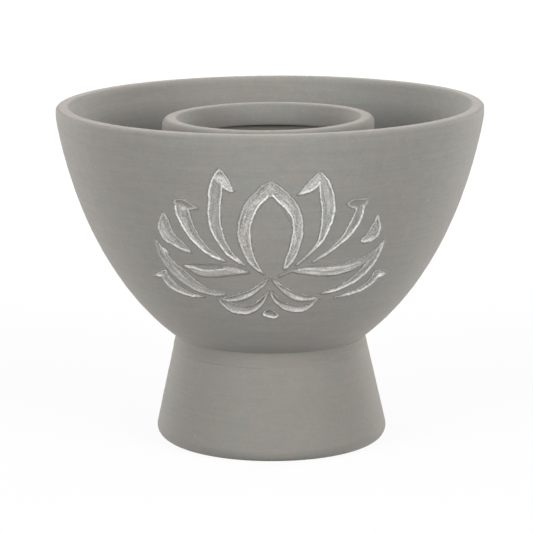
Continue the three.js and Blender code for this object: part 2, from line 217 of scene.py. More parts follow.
# Columns lie closer over the front, where the carving needs them.
from_front = add_node(wheel, "ShaderNodeMath", {0: parts["X"]}, operation="ABSOLUTE")[0]
back_angle = add_node(wheel, "ShaderNodeMath", {0: math.pi, 1: front_angle}, operation="SUBTRACT")[0]
in_front = add_node(wheel, "ShaderNodeMapRange", {
    "Value": from_front,
    "From Max": front_share,
    "To Max": front_angle,
})[0]
behind = add_node(wheel, "ShaderNodeMapRange", {
    "Value": from_front,
    "From Min": front_share,
    "From Max": 1.0,
    "To Max": back_angle,
})[0]
turn_size = add_node(wheel, "ShaderNodeMath", {0: in_front, 1: behind}, operation="ADD")[0]
turn_side = add_node(wheel, "ShaderNodeMath", {0: parts["X"]}, operation="SIGN")[0]
turn = add_node(wheel, "ShaderNodeMath", {0: turn_size, 1: turn_side}, operation="MULTIPLY")[0]
from_right = add_node(wheel, "ShaderNodeMath", {0: turn, 1: math.pi / 2}, operation="SUBTRACT")[0]
carried = add_node(wheel, "ShaderNodeVectorRotate", {
    "Vector": on_profile,
    "Angle": from_right,
}, rotation_type="Z_AXIS")[0]
ring = add_node(wheel, "GeometryNodeSetPosition", {"Geometry": grid, "Position": carried})[0]
closed = add_node(wheel, "GeometryNodeMergeByDistance", {"Geometry": ring, "Distance": WELD})[0]

mark_size = add_node(wheel, "ShaderNodeCombineXYZ", {
    "X": given["Mark length"],
    "Y": given["Mark length"],
    "Z": given["Mark pitch"],
})[0]
mark_place = add_node(wheel, "ShaderNodeVectorMath", {0: place, 1: mark_size}, operation="DIVIDE")[0]
push = 0.0
for ripple_place, scale, detail, height in (
    (mark_place, 1.0, 2.0, given["Mark height"]),
    (place, 1 / OUT_OF_ROUND_SIZE, 0.0, given["Out of round"]),
):
    ripple = add_node(wheel, "ShaderNodeTexNoise", {
        "Vector": ripple_place,
        "W": given["Seed"],
        "Scale": scale,
        "Detail": detail,
    }, noise_dimensions="4D")[0]
    rise = add_node(wheel, "ShaderNodeMapRange", {
        "Value": ripple,
        "From Min": RIPPLE_LOW,
        "From Max": RIPPLE_HIGH,
        "To Min": -1.0,
        "To Max": 1.0,
    })[0]
    push = add_node(wheel, "ShaderNodeMath", {0: rise, 1: height, 2: push}, operation="MULTIPLY_ADD")[0]
outward = add_node(wheel, "GeometryNodeInputNormal")[0]
pushed = add_node(wheel, "ShaderNodeVectorMath", {0: outward, "Scale": push}, operation="SCALE")[0]
tilt_share = add_node(wheel, "ShaderNodeMapRange", {
    "Value": parts["Z"],
    "From Min": given["Tilt from"],
    "From Max": given["Tilt to"],
    "To Max": given["Tilt"],
})[0]
tilt_rise = add_node(wheel, "ShaderNodeMath", {0: tilt_share, 1: parts["X"]}, operation="MULTIPLY")[0]
side_push = add_node(wheel, "ShaderNodeMath", {
    0: parts["Z"],
    1: given["Lean"],
    2: given["Off centre"],
}, operation="MULTIPLY_ADD")[0]
set_over = add_node(wheel, "ShaderNodeCombineXYZ", {"X": side_push, "Z": tilt_rise})[0]
moved = add_node(wheel, "ShaderNodeVectorMath", {0: pushed, 1: set_over}, operation="ADD")[0]
new_place = add_node(wheel, "ShaderNodeVectorMath", {0: place, 1: moved}, operation="ADD")[0]
on_bench = add_node(wheel, "ShaderNodeVectorMath", {0: new_place, 1: BENCH}, operation="MAXIMUM")[0]
worked = add_node(wheel, "GeometryNodeSetPosition", {"Geometry": closed, "Position": on_bench})[0]
smooth = add_node(wheel, "GeometryNodeSetShadeSmooth", {"Geometry": worked})[0]
real = add_node(wheel, "GeometryNodeRealizeInstances", {"Geometry": smooth})[0]
clad = add_node(wheel, "GeometryNodeSetMaterial", {"Geometry": real, "Material": given["Clay"]})[0]
add_node(wheel, "NodeGroupOutput", {0: clad})


def thrown(name, profile, clay, sizes):
    """A piece turned on the wheel from a profile of (radius, height) points in millimetres."""
    line = bpy.data.meshes.new(name)
    points = [(radius * MM, 0, height * MM) for radius, height in profile]
    line.from_pydata(points, [(first, first + 1) for first in range(len(points) - 1)], [])
    piece = bpy.data.objects.new(name, line)
    bpy.context.scene.collection.objects.link(piece)
    turning = piece.modifiers.new("turning", "NODES")
    turning.node_group = wheel
    turning[wheel_sockets["Clay"]] = clay
    for socket_name, size in sizes.items():
        turning[wheel_sockets[socket_name]] = size
    evaluated = piece.evaluated_get(bpy.context.evaluated_depsgraph_get())
    turned = bpy.data.meshes.new_from_object(evaluated)
    piece.modifiers.clear()
    piece.data = turned
    return piece


def linear(hex_colour):
    """Linear colour of an sRGB hex value."""
    channels = [int(hex_colour[start:start + 2], 16) / 255 for start in (1, 3, 5)]
    bent = [share / 12.92 if share <= 0.04045 else ((share + 0.055) / 1.055) ** 2.4 for share in channels]
    return (*bent, 1.0)


CLAY_IOR = 1.5
CLAY_ROUGHNESS = 0.75
CLAY_DRYNESS = 1.0
CLAY_DUST = 0.1
DUST_ROUGHNESS = 0.35
DUST_COLOUR = "#ffdad4"
MOTTLE_SIZE = 34 * MM
FINE_MOTTLE_SIZE = 3.2 * MM
ALL_COOL = 0.74
ALL_WARM = 1.26
FLECK_DEPTH = 0.045
MARK_LENGTH = 16 * MM
MARK_PITCH = 0.9 * MM
MARK_DEPTH = 0.05
MARK_RELIEF = 0.03 * MM
# Coarser than the sand in the clay, so that it shows.
GRAIN_SIZE = 0.55 * MM
GRAIN_DEPTH = 0.05
SPECK_SPACING = 11 * MM
SPECK_SIZE = 0.35 * MM
SPECK_SHOWS = 0.5
SPECK_COLOUR = "#c9c1b4"


def fired_clay(name, cool, warm, wear):
    """Unglazed fired clay: dry grey, clouded cool and warm by the kiln, lined level by the wheel,
    grained with fine sand and dotted with a few pale specks. Wear is how much handling has flecked
    and scratched it."""
    material = bpy.data.materials.new(name)
    material.use_nodes = True
    tree = material.node_tree
    tree.nodes.clear()
    place = add_node(tree, "ShaderNodeTexCoord")["Object"]
    level = add_node(tree, "ShaderNodeMapping", {
        "Vector": place,
        "Scale": (1 / MARK_LENGTH, 1 / MARK_LENGTH, 1 / MARK_PITCH),
    })[0]
    patterns = []
    for pattern_place, scale, detail, roughness in (
        (place, 1 / MOTTLE_SIZE, 5.0, 0.75),
        (place, 1 / FINE_MOTTLE_SIZE, 4.0, 0.7),
        (level, 1.0, 4.0, 0.6),
        (place, 1 / GRAIN_SIZE, 2.0, 0.5),
    ):
        patterns.append(add_node(tree, "ShaderNodeTexNoise", {
            "Vector": pattern_place,
            "Scale": scale,
            "Detail": detail,
            "Roughness": roughness,
        })[0])
    cloud, flecks, marks, grain = patterns
    clouds = add_node(tree, "ShaderNodeMath", {0: cloud, 1: flecks}, operation="ADD")[0]
    warmth = add_node(tree, "ShaderNodeMapRange", {
        "Value": clouds,
        "From Min": ALL_COOL,
        "From Max": ALL_WARM,
    })[0]
    body = add_node(tree, "ShaderNodeMix", {
        "Factor": warmth,
        6: linear(cool),
        7: linear(warm),
    }, data_type="RGBA")[2]
    shade = 1.0
    for pattern, low, high, depth in (
        (marks, 0.25, 0.75, MARK_DEPTH * wear),
        (grain, 0.25, 0.75, GRAIN_DEPTH),
        (flecks, 0.3, 0.7, FLECK_DEPTH * wear),
    ):
        lighter = add_node(tree, "ShaderNodeMapRange", {
            "Value": pattern,
            "From Min": low,
            "From Max": high,
            "To Min": 1 - depth,
            "To Max": 1 + depth,
        })[0]
        shade = add_node(tree, "ShaderNodeMath", {0: shade, 1: lighter}, operation="MULTIPLY")[0]
    shaded = add_node(tree, "ShaderNodeVectorMath", {0: body, "Scale": shade}, operation="SCALE")[0]
    specks = add_node(tree, "ShaderNodeTexVoronoi", {"Vector": place, "Scale": 1 / SPECK_SPACING})
    speck = add_node(tree, "ShaderNodeMapRange", {
        "Value": specks["Distance"],
        "From Min": SPECK_SIZE / SPECK_SPACING,
        "From Max": 0.5 * SPECK_SIZE / SPECK_SPACING,
        "To Max": SPECK_SHOWS,
    })[0]
    specked = add_node(tree, "ShaderNodeMix", {
        "Factor": speck,
        6: shaded,
        7: linear(SPECK_COLOUR),
    }, data_type="RGBA")[2]
    relief = add_node(tree, "ShaderNodeMath", {0: marks, 1: grain}, operation="ADD")[0]
    bump = add_node(tree, "ShaderNodeBump", {"Height": relief, "Strength": 1.0, "Distance": MARK_RELIEF})[0]
    shader = add_node(tree, "ShaderNodeBsdfPrincipled", {
        "Base Color": specked,
        "Roughness": CLAY_ROUGHNESS,
        "Diffuse Roughness": CLAY_DRYNESS,
        "IOR": CLAY_IOR,
        "Sheen Weight": CLAY_DUST,
        "Sheen Roughness": DUST_ROUGHNESS,
        "Sheen Tint": linear(DUST_COLOUR),
        "Normal": bump,
    }, name="clay")[0]
    add_node(tree, "ShaderNodeOutputMaterial", {"Surface": shader})
    return material


def paint_shade_by_height(material, heights, shades):
    """Paints shade into a clay's colour: darkens it by shades that run from one to the other between two
    heights in millimetres.
    """
    tree = material.node_tree
    shader = tree.nodes["clay"]
    bare = shader.inputs["Base Color"].links[0].from_socket
    place = add_node(tree, "ShaderNodeTexCoord")["Object"]
    height = add_node(tree, "ShaderNodeSeparateXYZ", {0: place})["Z"]
    shade = add_node(tree, "ShaderNodeMapRange", {
        "Value": height,
        "From Min": heights[0] * MM,
        "From Max": heights[1] * MM,
        "To Min": shades[0],
        "To Max": shades[1],
    })[0]
    shaded = add_node(tree, "ShaderNodeVectorMath", {0: bare, "Scale": shade}, operation="SCALE")[0]
    tree.links.new(shaded, shader.inputs["Base Color"])


CLAY_COOL = "#92948f"
CLAY_WARM = "#97918b"
BOWL_WEAR = 1.0
# Painted shade: the wall's colour is darkened over the last few millimetres above the seam, where the bowl
# overhangs the foot.
SEAM_PAINTED_SHADE = 0.86
PAINTED_SHADE_RISE = 5
bowl_clay = fired_clay("unglazed_grey_clay", CLAY_COOL, CLAY_WARM, BOWL_WEAR)
paint_shade_by_height(bowl_clay, (SEAM_HEIGHT, SEAM_HEIGHT + PAINTED_SHADE_RISE), (SEAM_PAINTED_SHADE, 1.0))

floor_height = BASE_HEIGHT + BOWL_FLOOR
lip_start = RIM_HEIGHT - LIP_HEIGHT
inside_wall = climb(RIM_HEIGHT, BASE_HEIGHT, -BOWL_WALL)
below_roll = inside_wall[:, 1] < RIM_HEIGHT - LIP_ROLL_HEIGHT
inside_lip = inside_wall[inside_wall[:, 1] < RIM_HEIGHT - LIP_INNER_EDGE][0]
inside_wall = inside_wall[(inside_wall[:, 1] > floor_height) & below_roll]
top_facing = math.pi / 2 - LIP_SLOPE
outer_centre = [RIM_RADIUS - LIP_OUTER_EDGE, RIM_HEIGHT - LIP_OUTER_EDGE]
lip_outer = arc(outer_centre, LIP_OUTER_EDGE, 0, top_facing)
inner_centre = inside_lip[0] - LIP_ROLL + LIP_INNER_EDGE
crest_radius = inner_centre + LIP_INNER_EDGE * math.sin(LIP_SLOPE)
crest_height = lip_outer[-1, 1] + (lip_outer[-1, 0] - crest_radius) * math.tan(LIP_SLOPE)
inner_height = crest_height - LIP_INNER_EDGE * math.cos(LIP_SLOPE)
lip_inner = arc([inner_centre, inner_height], LIP_INNER_EDGE, top_facing, math.pi)
lip_foot = wall_at(np.array([lip_start]), WALL_FULLNESS)[0]
wall_outward = wall_normal(np.array([lip_start]))[0]
wall_upward = np.array([-wall_outward[1], wall_outward[0]])
lip_inside = swept(lip_inner[-1], np.array([0, -1]), wall_upward, inside_wall[0])
lip_outside = swept(lip_foot, LIP_PULL * wall_upward, np.array([0, -LIP_PULL]), lip_outer[0])
down_to_floor = np.vstack([inside_wall, [0, floor_height]])
bowl_profile = joined(
    evenly([[0, BASE_HEIGHT], [BASE_RADIUS, BASE_HEIGHT]], BASE_ROW),
    evenly(climb(BASE_HEIGHT, SEAM_HEIGHT + LOTUS_BOTTOM, WALL_FULLNESS), PLAIN_ROW),
    evenly(climb(SEAM_HEIGHT + LOTUS_BOTTOM, SEAM_HEIGHT + LOTUS_TOP, WALL_FULLNESS), CARVED_ROW),
    evenly(climb(SEAM_HEIGHT + LOTUS_TOP, lip_start, WALL_FULLNESS), PLAIN_ROW),
    evenly(lip_outside, LIP_ROW),
    evenly(lip_outer, EDGE_ROW),
    evenly([lip_outer[-1], lip_inner[0]], LIP_ROW),
    evenly(lip_inner, EDGE_ROW),
    evenly(lip_inside, LIP_ROW),
    softened(evenly(down_to_floor, INSIDE_ROW), SPONGED),
)
RIM_TILT = math.radians(0.46)
FRONT_HALF_ANGLE = math.radians(44)
bowl = thrown("thrown_bowl", bowl_profile, bowl_clay, {
    "Columns": 330,
    "Front columns share": 0.75,
    "Front half angle": FRONT_HALF_ANGLE,
    "Tilt": math.tan(RIM_TILT),
    "Tilt from": SEAM_HEIGHT * MM,
    "Tilt to": RIM_HEIGHT * MM,
    "Out of round": 0.08 * MM,
    "Off centre": -0.05 * MM,
    "Seed": 3,
})
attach(bowl, "root")
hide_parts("bowl")

# Carved lotus
# The flower is cut into the leather-hard wall with a loop tool, one or two passes to a petal. Each
# pass sinks a round-bottomed groove and raises a thin burr of clay along both of its edges.
GROOVE_DEPTH = 0.45
GROOVE_FLANK = 0.75
BURR_HEIGHT = 0.1
BURR_WIDTH = 0.3
EDGE_WANDER = 0.16
WANDER_LENGTH = 2.4
WANDER_SEED = 0.5
EDGE_TORN = 0.13
TORN_LENGTH = 0.9
TORN_SEED = 3.5
CHATTER_HEIGHT = 0.1
CHATTER_LENGTH = 2.2
CHATTER_WIDTH = 0.5
CHATTER_SEED = 7.5
STEPS_PER_POINT = 6
SHORTEST_STEP = 1e-6
TOOL_REACH = 4.0
FAR_AWAY = 99.0
# Partly wash and partly painted light: the upward-facing lower flank of a groove is whiter.
LOWER_FLANK_WASH_AND_PAINTED_LIGHT = 0.3
THIN_STROKE = 0.2
FULL_STROKE = 0.4
THINNEST_WASH = 0.4

# A petal's passes, each as (wash held, line along its left edge, line along its right edge, points)
# with points of [across, height above the seam, width] in the order that the tool went.
PETALS = {
    "centre": [
        (0.65, 1.0, 0.6, [
            [0, 57.3, 0.2], [-1.1, 55, 2.7], [-2.8, 53, 3.4], [-5.1, 50.2, 3.4], [-6.7, 46.5, 3.4],
            [-7.4, 42.6, 3.3], [-7.1, 38.9, 3], [-6, 35, 2.4], [-4.3, 31.7, 1.3], [-1.9, 29, 0.2],
        ]),
        (0.65, 0.7, 1.0, [
            [0, 57.3, 0.2], [1.2, 55, 2.7], [3, 53, 3.4], [5.1, 50.7, 3.3], [6.7, 48.4, 3],
            [7.6, 45.4, 2.6], [7.7, 42.5, 2.7], [7.3, 39.2, 2.6], [6.4, 36, 2.4], [5.3, 33.3, 1.9],
            [4.1, 30.9, 0.4],
        ]),
        (0.6, 0.0, 0.0, [[-0.1, 56.1, 1.5], [-0.1, 55, 2.2], [-0.2, 54, 2.4]]),
    ],
    "second_left": [
        (0.4, 0.9, 1.0, [
            [-7.4, 31.7, 0.2], [-11, 34.7, 1.4], [-13.2, 37.6, 2], [-15, 41.5, 2.8], [-15.9, 45.3, 3.3],
            [-15.9, 49.9, 3.4], [-15.5, 54.1, 3.6], [-15.1, 57.1, 2.8], [-14.4, 60.6, 0.2],
        ]),
        (0.3, 0.75, 0.8, [
            [-14.3, 60.6, 0.2], [-13.8, 59, 1.5], [-13.1, 57.3, 2.3], [-12, 55.7, 1.9], [-11, 54.6, 0.9],
            [-10.3, 54.4, 0.2],
        ]),
    ],
    "second_right": [
        (0.45, 1.0, 0.95, [
            [7.4, 31.8, 0.2], [10.2, 34.4, 0.4], [12.7, 37.1, 0.7], [14.3, 39.3, 1.4], [15.2, 41.7, 2.1],
            [16, 44.7, 2.9], [16.4, 48.7, 3.7], [16.1, 51.7, 3.8], [15.7, 54.4, 3.5], [15, 56.9, 2.5],
            [14.1, 59.7, 0.2],
        ]),
        (0.3, 0.8, 0.75, [
            [14.1, 59.7, 0.2], [13.2, 57.9, 2.1], [12.1, 56.5, 2.6], [10.7, 55.3, 2.2], [9.2, 54.2, 1.2],
            [7.8, 53.4, 0.2],
        ]),
    ],
    "third_left": [
        (0.5, 1.0, 0.75, [
            [-12.9, 32.7, 0.2], [-15.8, 34.3, 1.3], [-18.3, 36, 1.8], [-20.7, 38.3, 2.3], [-22.7, 41, 3],
            [-24.4, 44.1, 3.5], [-25.4, 46.9, 4], [-25.8, 48.5, 3.9],
        ]),
        (0.05, 0.6, 0.35, [
            [-27.6, 50, 1], [-26.3, 49.8, 2.6], [-24.8, 49.4, 2.6], [-23.1, 49, 1.3], [-20.8, 48.7, 0.2],
        ]),
    ],
    "third_right": [
        (0.3, 1.0, 0.95, [
            [12.2, 32.7, 0.2], [15.1, 34.5, 0.6], [17.5, 36.2, 0.7], [20.1, 38.4, 1.2], [21.8, 40.1, 1.8],
            [23.3, 42.1, 2.4], [24.6, 44.2, 2.6], [25.5, 46.2, 2.6], [26.1, 48.3, 2.5],
        ]),
        (0.05, 0.35, 0.6, [
            [28.3, 50.8, 0.4], [27.1, 50, 2.1], [25.6, 49.7, 2.8], [23.9, 49.7, 2.3], [22.1, 49.8, 0.4],
        ]),
    ],
    "fourth_left": [
        (0.55, 0.75, 0.7, [
            [-23.3, 34.8, 0.2], [-24, 35.3, 0.9], [-26.1, 36.6, 2.3], [-28.3, 38, 2.9], [-30.3, 39.5, 4],
            [-31.4, 41.6, 4.2], [-31.6, 43.8, 2.9], [-31.7, 46, 0.7],
        ]),
    ],
    "fourth_right": [
        (0.65, 0.75, 0.8, [
            [27.3, 38.2, 1.2], [28.9, 38.9, 2.4], [30.4, 39.9, 3.4], [31.3, 41.4, 3.3], [31.7, 43.3, 1.8],
            [31.8, 45.7, 0.4],
        ]),
    ],
    "fifth_left": [
        (0.5, 0.4, 0.95, [
            [-12.9, 21.7, 0.2], [-17, 22.1, 1.5], [-20.9, 23.4, 2.5], [-24.4, 25.4, 3.3],
            [-27.6, 27.8, 3.6], [-30.1, 30, 3.3], [-32.3, 32.7, 2.8], [-33.8, 35.1, 1.8],
            [-34.8, 37.5, 0.4],
        ]),
        (0.8, 0.9, 0.8, [[-33, 35.2, 0.4], [-31.9, 34.6, 1.1], [-30.6, 33.9, 0.3]]),
    ],
    "fifth_right": [
        (0.4, 0.85, 0.85, [
            [14.8, 22.1, 0.2], [18.1, 22.7, 0.9], [21.7, 24, 1.2], [25.1, 25.9, 1.8], [27.8, 28.2, 2.3],
            [30, 30.4, 2.5], [31.9, 32.8, 2], [33.3, 35.2, 1.3], [34.5, 37.1, 0.4],
        ]),
    ],
    "sixth_left": [
        (0.4, 0.8, 0.9, [
            [-19.6, 20.4, 0.2], [-23.2, 20.6, 0.9], [-26.5, 21.6, 1.7], [-29.4, 22.9, 2.4],
            [-31.5, 24.7, 2.8], [-32.5, 26.4, 2.2], [-31.8, 27.8, 0.3],
        ]),
        (0.9, 0.9, 0.9, [[-36.9, 25.4, 0.2], [-35, 26, 0.9], [-32.7, 26.5, 2]]),
    ],
    "sixth_right": [
        (0.3, 0.7, 0.9, [
            [19, 20.3, 0.2], [22.7, 21, 0.8], [26.3, 21.9, 1.2], [29.5, 23.4, 1.5], [31.5, 24.9, 2.1],
            [32.5, 26.4, 2.3], [32.2, 27.6, 0.4],
        ]),
        (0.45, 1.0, 0.9, [[36.3, 26.3, 0.2], [34.4, 26.4, 1.6], [32.5, 26.5, 2.4]]),
    ],
    "seventh_left": [
        (0.2, 0.0, 0.35, [
            [-6, 29.4, 0.2], [-7.9, 29.7, 1.2], [-10.4, 29.9, 2.6], [-13.3, 29.8, 3.3],
            [-15.7, 29.6, 3.9], [-18.5, 29.5, 4], [-21.2, 29.7, 3.4], [-23.5, 30.3, 2],
            [-25.8, 30.3, 0.2],
        ]),
    ],
    "seventh_right": [
        (0.45, 0.45, 0.25, [
            [2.7, 28.3, 0.2], [5.9, 30, 0.5], [8.8, 30.1, 1.8], [12.3, 29.9, 2.9], [16.4, 29.7, 3.2],
            [20.4, 30, 3.3], [24.2, 30.8, 3], [27.2, 31.7, 2.1], [30.3, 33.6, 1], [33.5, 35.8, 0.3],
        ]),
    ],
    "wing_left": [
        (0.4, 0.45, 0.85, [
            [-0.8, 27.2, 0.2], [-2.3, 25.6, 0.9], [-4.2, 23.9, 1.3], [-6.4, 22.2, 1.7], [-9, 21.1, 1.9],
            [-11.9, 20.3, 1.4], [-14.9, 20.1, 0.2],
        ]),
    ],
    "wing_right": [
        (0.4, 0.85, 0.4, [
            [0.8, 27, 0.3], [2.4, 25.3, 1], [4.2, 23.6, 1.5], [6.3, 22, 2], [8.4, 21.1, 2],
            [10.9, 20.7, 1.4], [14.3, 20.5, 0.2],
        ]),
    ],
    "curl_left": [
        (0.4, 0.75, 0.6, [
            [-15, 20, 0.3], [-13.3, 18.7, 1.7], [-11.1, 17.3, 2.4], [-8.7, 16.7, 2.5], [-6.5, 16.8, 2.3],
            [-4.5, 17.9, 1.9], [-2.6, 19.8, 1.3], [-0.6, 23, 0.2],
        ]),
    ],
    "curl_right": [
        (0.3, 0.55, 0.6, [
            [0.1, 23.4, 0.2], [1.1, 21.4, 1.2], [2.5, 19.6, 1.6], [4.4, 18.1, 1.9], [6.7, 17.2, 1.9],
            [9.1, 17.1, 1.6], [11.4, 18.2, 1], [14, 20.6, 0.2],
        ]),
    ],
    "seed": [
        (0.3, 1.0, 0.9, [
            [-1.5, 15.5, 1.4], [-0.5, 15.7, 2.4], [0.6, 15.3, 2.2], [1.5, 15, 1.4], [2.1, 15.1, 0.4],
        ]),
    ],
}

# Ridges torn up inside a petal, which the wash caught on, each as (wash held, points).
SCORES = {
    "centre": [
        (1.0, [[-7.3, 47, 0.8], [-7.1, 46, 0.8]]),
        (0.9, [[1.7, 51.6, 0.3], [4.4, 48.4, 0.6], [6.4, 44.4, 0.6], [7, 40.8, 0.5], [6.6, 37.2, 0.3]]),
        (0.9, [
            [-1.6, 51.8, 0.3], [-4.2, 47.9, 0.5], [-5.5, 43.3, 0.5], [-5.8, 38.8, 0.4], [-4.6, 34.6, 0.3],
        ]),
    ],
    "second_left": [
        (1.0, [
            [-16.2, 58.5, 0.6], [-15.2, 58, 1.7], [-14, 57.4, 2.6], [-12.6, 56.4, 2], [-11.6, 55.3, 1.2],
            [-10.5, 54.5, 0.5],
        ]),
        (0.6, [[-14.5, 43, 0.2], [-14, 40.5, 0.4], [-12.9, 37.9, 0.4], [-11.4, 35.8, 0.3]]),
        (0.45, [[-15.5, 49.3, 0.9], [-15.4, 46, 1.8], [-14.9, 42.6, 1.5], [-13.8, 39.6, 0.6]]),
    ],
    "second_right": [
        (0.85, [
            [14, 59.2, 1], [13.1, 58, 2], [12, 56.7, 2.3], [10.6, 55.4, 2], [9, 54.3, 1.3],
            [7.9, 53.5, 0.4],
        ]),
        (0.6, [[17, 46.5, 0.2], [16.3, 43.5, 0.4], [15.2, 41.1, 0.4], [13.9, 39, 0.3]]),
        (0.6, [[14.4, 58.2, 1], [15.1, 56, 1.9], [16.1, 52.6, 2], [16.5, 48.9, 1.4], [16.4, 46.5, 0.6]]),
    ],
    "third_left": [
        (0.8, [
            [-26.6, 46.6, 0.4], [-25.3, 43.8, 0.5], [-23.3, 40.4, 0.5], [-21.2, 37.9, 0.4],
            [-19, 36, 0.3],
        ]),
        (0.8, [[-26.7, 48.1, 0.7], [-25.4, 48, 1.5], [-24.2, 48.1, 1]]),
    ],
    "third_right": [
        (0.45, [[23.9, 42.5, 0.7], [21.9, 40.2, 1.1], [19.8, 38.4, 0.6]]),
    ],
    "fourth_left": [
        (1.0, [[-31.7, 46.1, 1], [-31.8, 45.3, 1.2], [-31.8, 44.5, 0.6]]),
        (0.8, [[-32.4, 44, 0.7], [-32.4, 41.5, 1.7], [-31.8, 39.7, 1.6], [-30.4, 38.3, 0.7]]),
    ],
    "fourth_right": [
        (1.0, [[31.8, 45.7, 0.9], [31.7, 44.5, 0.7]]),
        (0.9, [[27.6, 37.6, 0.7], [29.7, 38.1, 0.8], [31.4, 39.1, 0.6]]),
    ],
    "fifth_left": [
        (1.0, [[-34.8, 37.5, 1], [-34.5, 36.2, 0.6]]),
        (0.9, [[-34.2, 35.9, 0.4], [-32.7, 34.3, 0.8], [-32, 32.2, 0.4]]),
        (0.7, [[-30.1, 29.4, 0.4], [-28.3, 28, 0.6], [-26.6, 26.4, 0.6], [-24.6, 25.1, 0.4]]),
    ],
    "fifth_right": [
        (1.0, [[34.5, 37.1, 1.1], [33.7, 35.8, 1.1], [33.2, 34.2, 0.4]]),
    ],
    "sixth_left": [
        (0.8, [[-32.3, 25.7, 0.4], [-30.5, 24.1, 0.6], [-28.7, 22.8, 0.4]]),
    ],
    "sixth_right": [
        (1.0, [[36.2, 26.3, 1], [34.5, 26.1, 1.3], [32.9, 24.7, 0.5]]),
    ],
    "seventh_left": [
        (1.0, [
            [-25.6, 30.1, 0.4], [-23.5, 29.8, 0.6], [-21.2, 29.2, 0.7], [-19.3, 28.9, 0.7],
            [-17.1, 29, 0.6], [-14.9, 29.4, 0.5], [-12.7, 29.7, 0.4],
        ]),
        (0.35, [
            [-24.7, 29.3, 0.4], [-21.5, 28.4, 1], [-18.1, 28.2, 1.1], [-14.8, 28.6, 1],
            [-11.5, 28.8, 0.5],
        ]),
        (0.75, [[-13.8, 30.2, 0.7], [-11.5, 30, 1.8], [-8.9, 29.8, 1.5], [-6.7, 29.6, 0.5]]),
    ],
    "seventh_right": [
        (1.0, [
            [7.6, 29.9, 0.3], [12.3, 29.9, 0.8], [16.4, 29.6, 1.2], [20.4, 29.8, 0.8], [24.2, 30.4, 0.5],
            [27.2, 31.1, 0.3],
        ]),
        (0.6, [
            [9.9, 29.2, 0.3], [13.6, 28.7, 0.6], [17.7, 28.3, 0.7], [21.8, 28.6, 0.6], [24.6, 29.2, 0.3],
        ]),
    ],
    "wing_left": [
        (0.9, [[-3.6, 23.8, 0.3], [-5.6, 22.1, 0.6], [-7.8, 20.8, 0.4]]),
    ],
    "wing_right": [
        (1.0, [[0.9, 26.9, 0.6], [1.9, 25.7, 0.5]]),
        (0.9, [[3.7, 23.8, 0.3], [5.9, 21.8, 0.6], [8, 20.6, 0.7], [9.7, 20.2, 0.4]]),
    ],
    "curl_left": [
        (0.5, [[-13.5, 18.8, 0.6], [-12.2, 17.7, 1], [-10.2, 16.7, 1.3], [-7.9, 16.3, 0.9]]),
    ],
    "curl_right": [
        (0.9, [[0.2, 23.3, 0.5], [0.6, 21.9, 0.4]]),
        (0.75, [
            [2.8, 18.5, 0.6], [4.6, 17.7, 1.2], [6.7, 17, 1.5], [8.5, 17, 1.3], [10.6, 17.5, 0.9],
            [12.2, 18.6, 0.6], [13.6, 20.2, 0.4],
        ]),
    ],
}


def stations(points):
    """A pass as close stations of (across, up, width) on a smooth curve through its points."""
    points = np.array(points, float)
    ends = np.vstack([2 * points[0] - points[1], points, 2 * points[-1] - points[-2]])
    before, start, end, after = ends[:-3], ends[1:-2], ends[2:-1], ends[3:]
    run = []
    for share in np.linspace(0, 1, STEPS_PER_POINT, endpoint=False):
        slope = end - before
        bend = 2 * before - 5 * start + 4 * end - after
        twist = 3 * start - before - 3 * end + after
        run.append(start + 0.5 * share * (slope + share * (bend + share * twist)))
    curve = np.stack(run, axis=1).reshape(-1, 3)
    return np.vstack([curve, points[-1]])


coords = np.empty(len(bowl.data.vertices) * 3, np.float32)
bowl.data.vertices.foreach_get("co", coords)
coords = coords.reshape(-1, 3).astype(float) / MM
turn_of = np.arctan2(coords[:, 0], -coords[:, 1])
reach_of = np.hypot(coords[:, 0], coords[:, 1])
in_band = (coords[:, 2] > SEAM_HEIGHT + LOTUS_BOTTOM) & (coords[:, 2] < SEAM_HEIGHT + LOTUS_TOP)
carved = np.flatnonzero(in_band & (np.abs(turn_of) < FRONT_HALF_ANGLE))
carved = carved[np.abs(reach_of[carved] - wall_at(coords[carved, 2])[:, 0]) < BOWL_WALL / 2]
on_wall = np.column_stack([
    turn_of[carved] * wall_at(coords[carved, 2])[:, 0],
    coords[carved, 2] - SEAM_HEIGHT,
])


def wander(places, seed):
    """Smooth noise from -1 to 1 at these places."""
    return np.array([noise.noise(Vector((x, y, seed))) for x, y in places])


edge_wander = EDGE_WANDER * wander(on_wall / WANDER_LENGTH, WANDER_SEED)
edge_wander += EDGE_TORN * wander(on_wall / TORN_LENGTH, TORN_SEED)


def trace(points):
    """Where each carved point lies by one stroke of the tool: distance outside the stroke, distance
    along it, distance to the right of its middle, half its width, distance to its nearer end and how
    far down its lower flank."""
    line = stations(points)
    start, step = line[:-1], np.diff(line, axis=0)
    length = np.maximum(np.linalg.norm(step[:, :2], axis=1), SHORTEST_STEP)
    run = np.concatenate([[0], np.cumsum(length)])
    low = line[:, :2].min(axis=0) - TOOL_REACH
    high = line[:, :2].max(axis=0) + TOOL_REACH
    near = np.flatnonzero(np.all((on_wall > low) & (on_wall < high), axis=1))
    away = on_wall[near, None, :] - start[None, :, :2]
    share = np.clip((away * step[None, :, :2]).sum(axis=2) / length ** 2, 0, 1)
    off = away - share[..., None] * step[None, :, :2]
    half = 0.5 * (start[:, 2] + share * step[:, 2])
    gap = np.linalg.norm(off, axis=2) - half
    best = gap.argmin(axis=1)
    nearest = (np.arange(len(near)), best)
    off, half = off[nearest], half[nearest]
    along = run[best] + share[nearest] * length[best]
    side = np.sign(off[:, 0] * step[best, 1] - off[:, 1] * step[best, 0])
    found = np.full((len(on_wall), 6), FAR_AWAY)
    found[near, 0] = gap[nearest]
    found[near, 1] = along
    found[near, 2] = side * np.linalg.norm(off, axis=1)
    found[near, 3] = half
    found[near, 4] = np.minimum(along, run[-1] - along)
    found[near, 5] = np.clip(-off[:, 1] / np.maximum(half, THIN_STROKE), -1, 1)
    return found


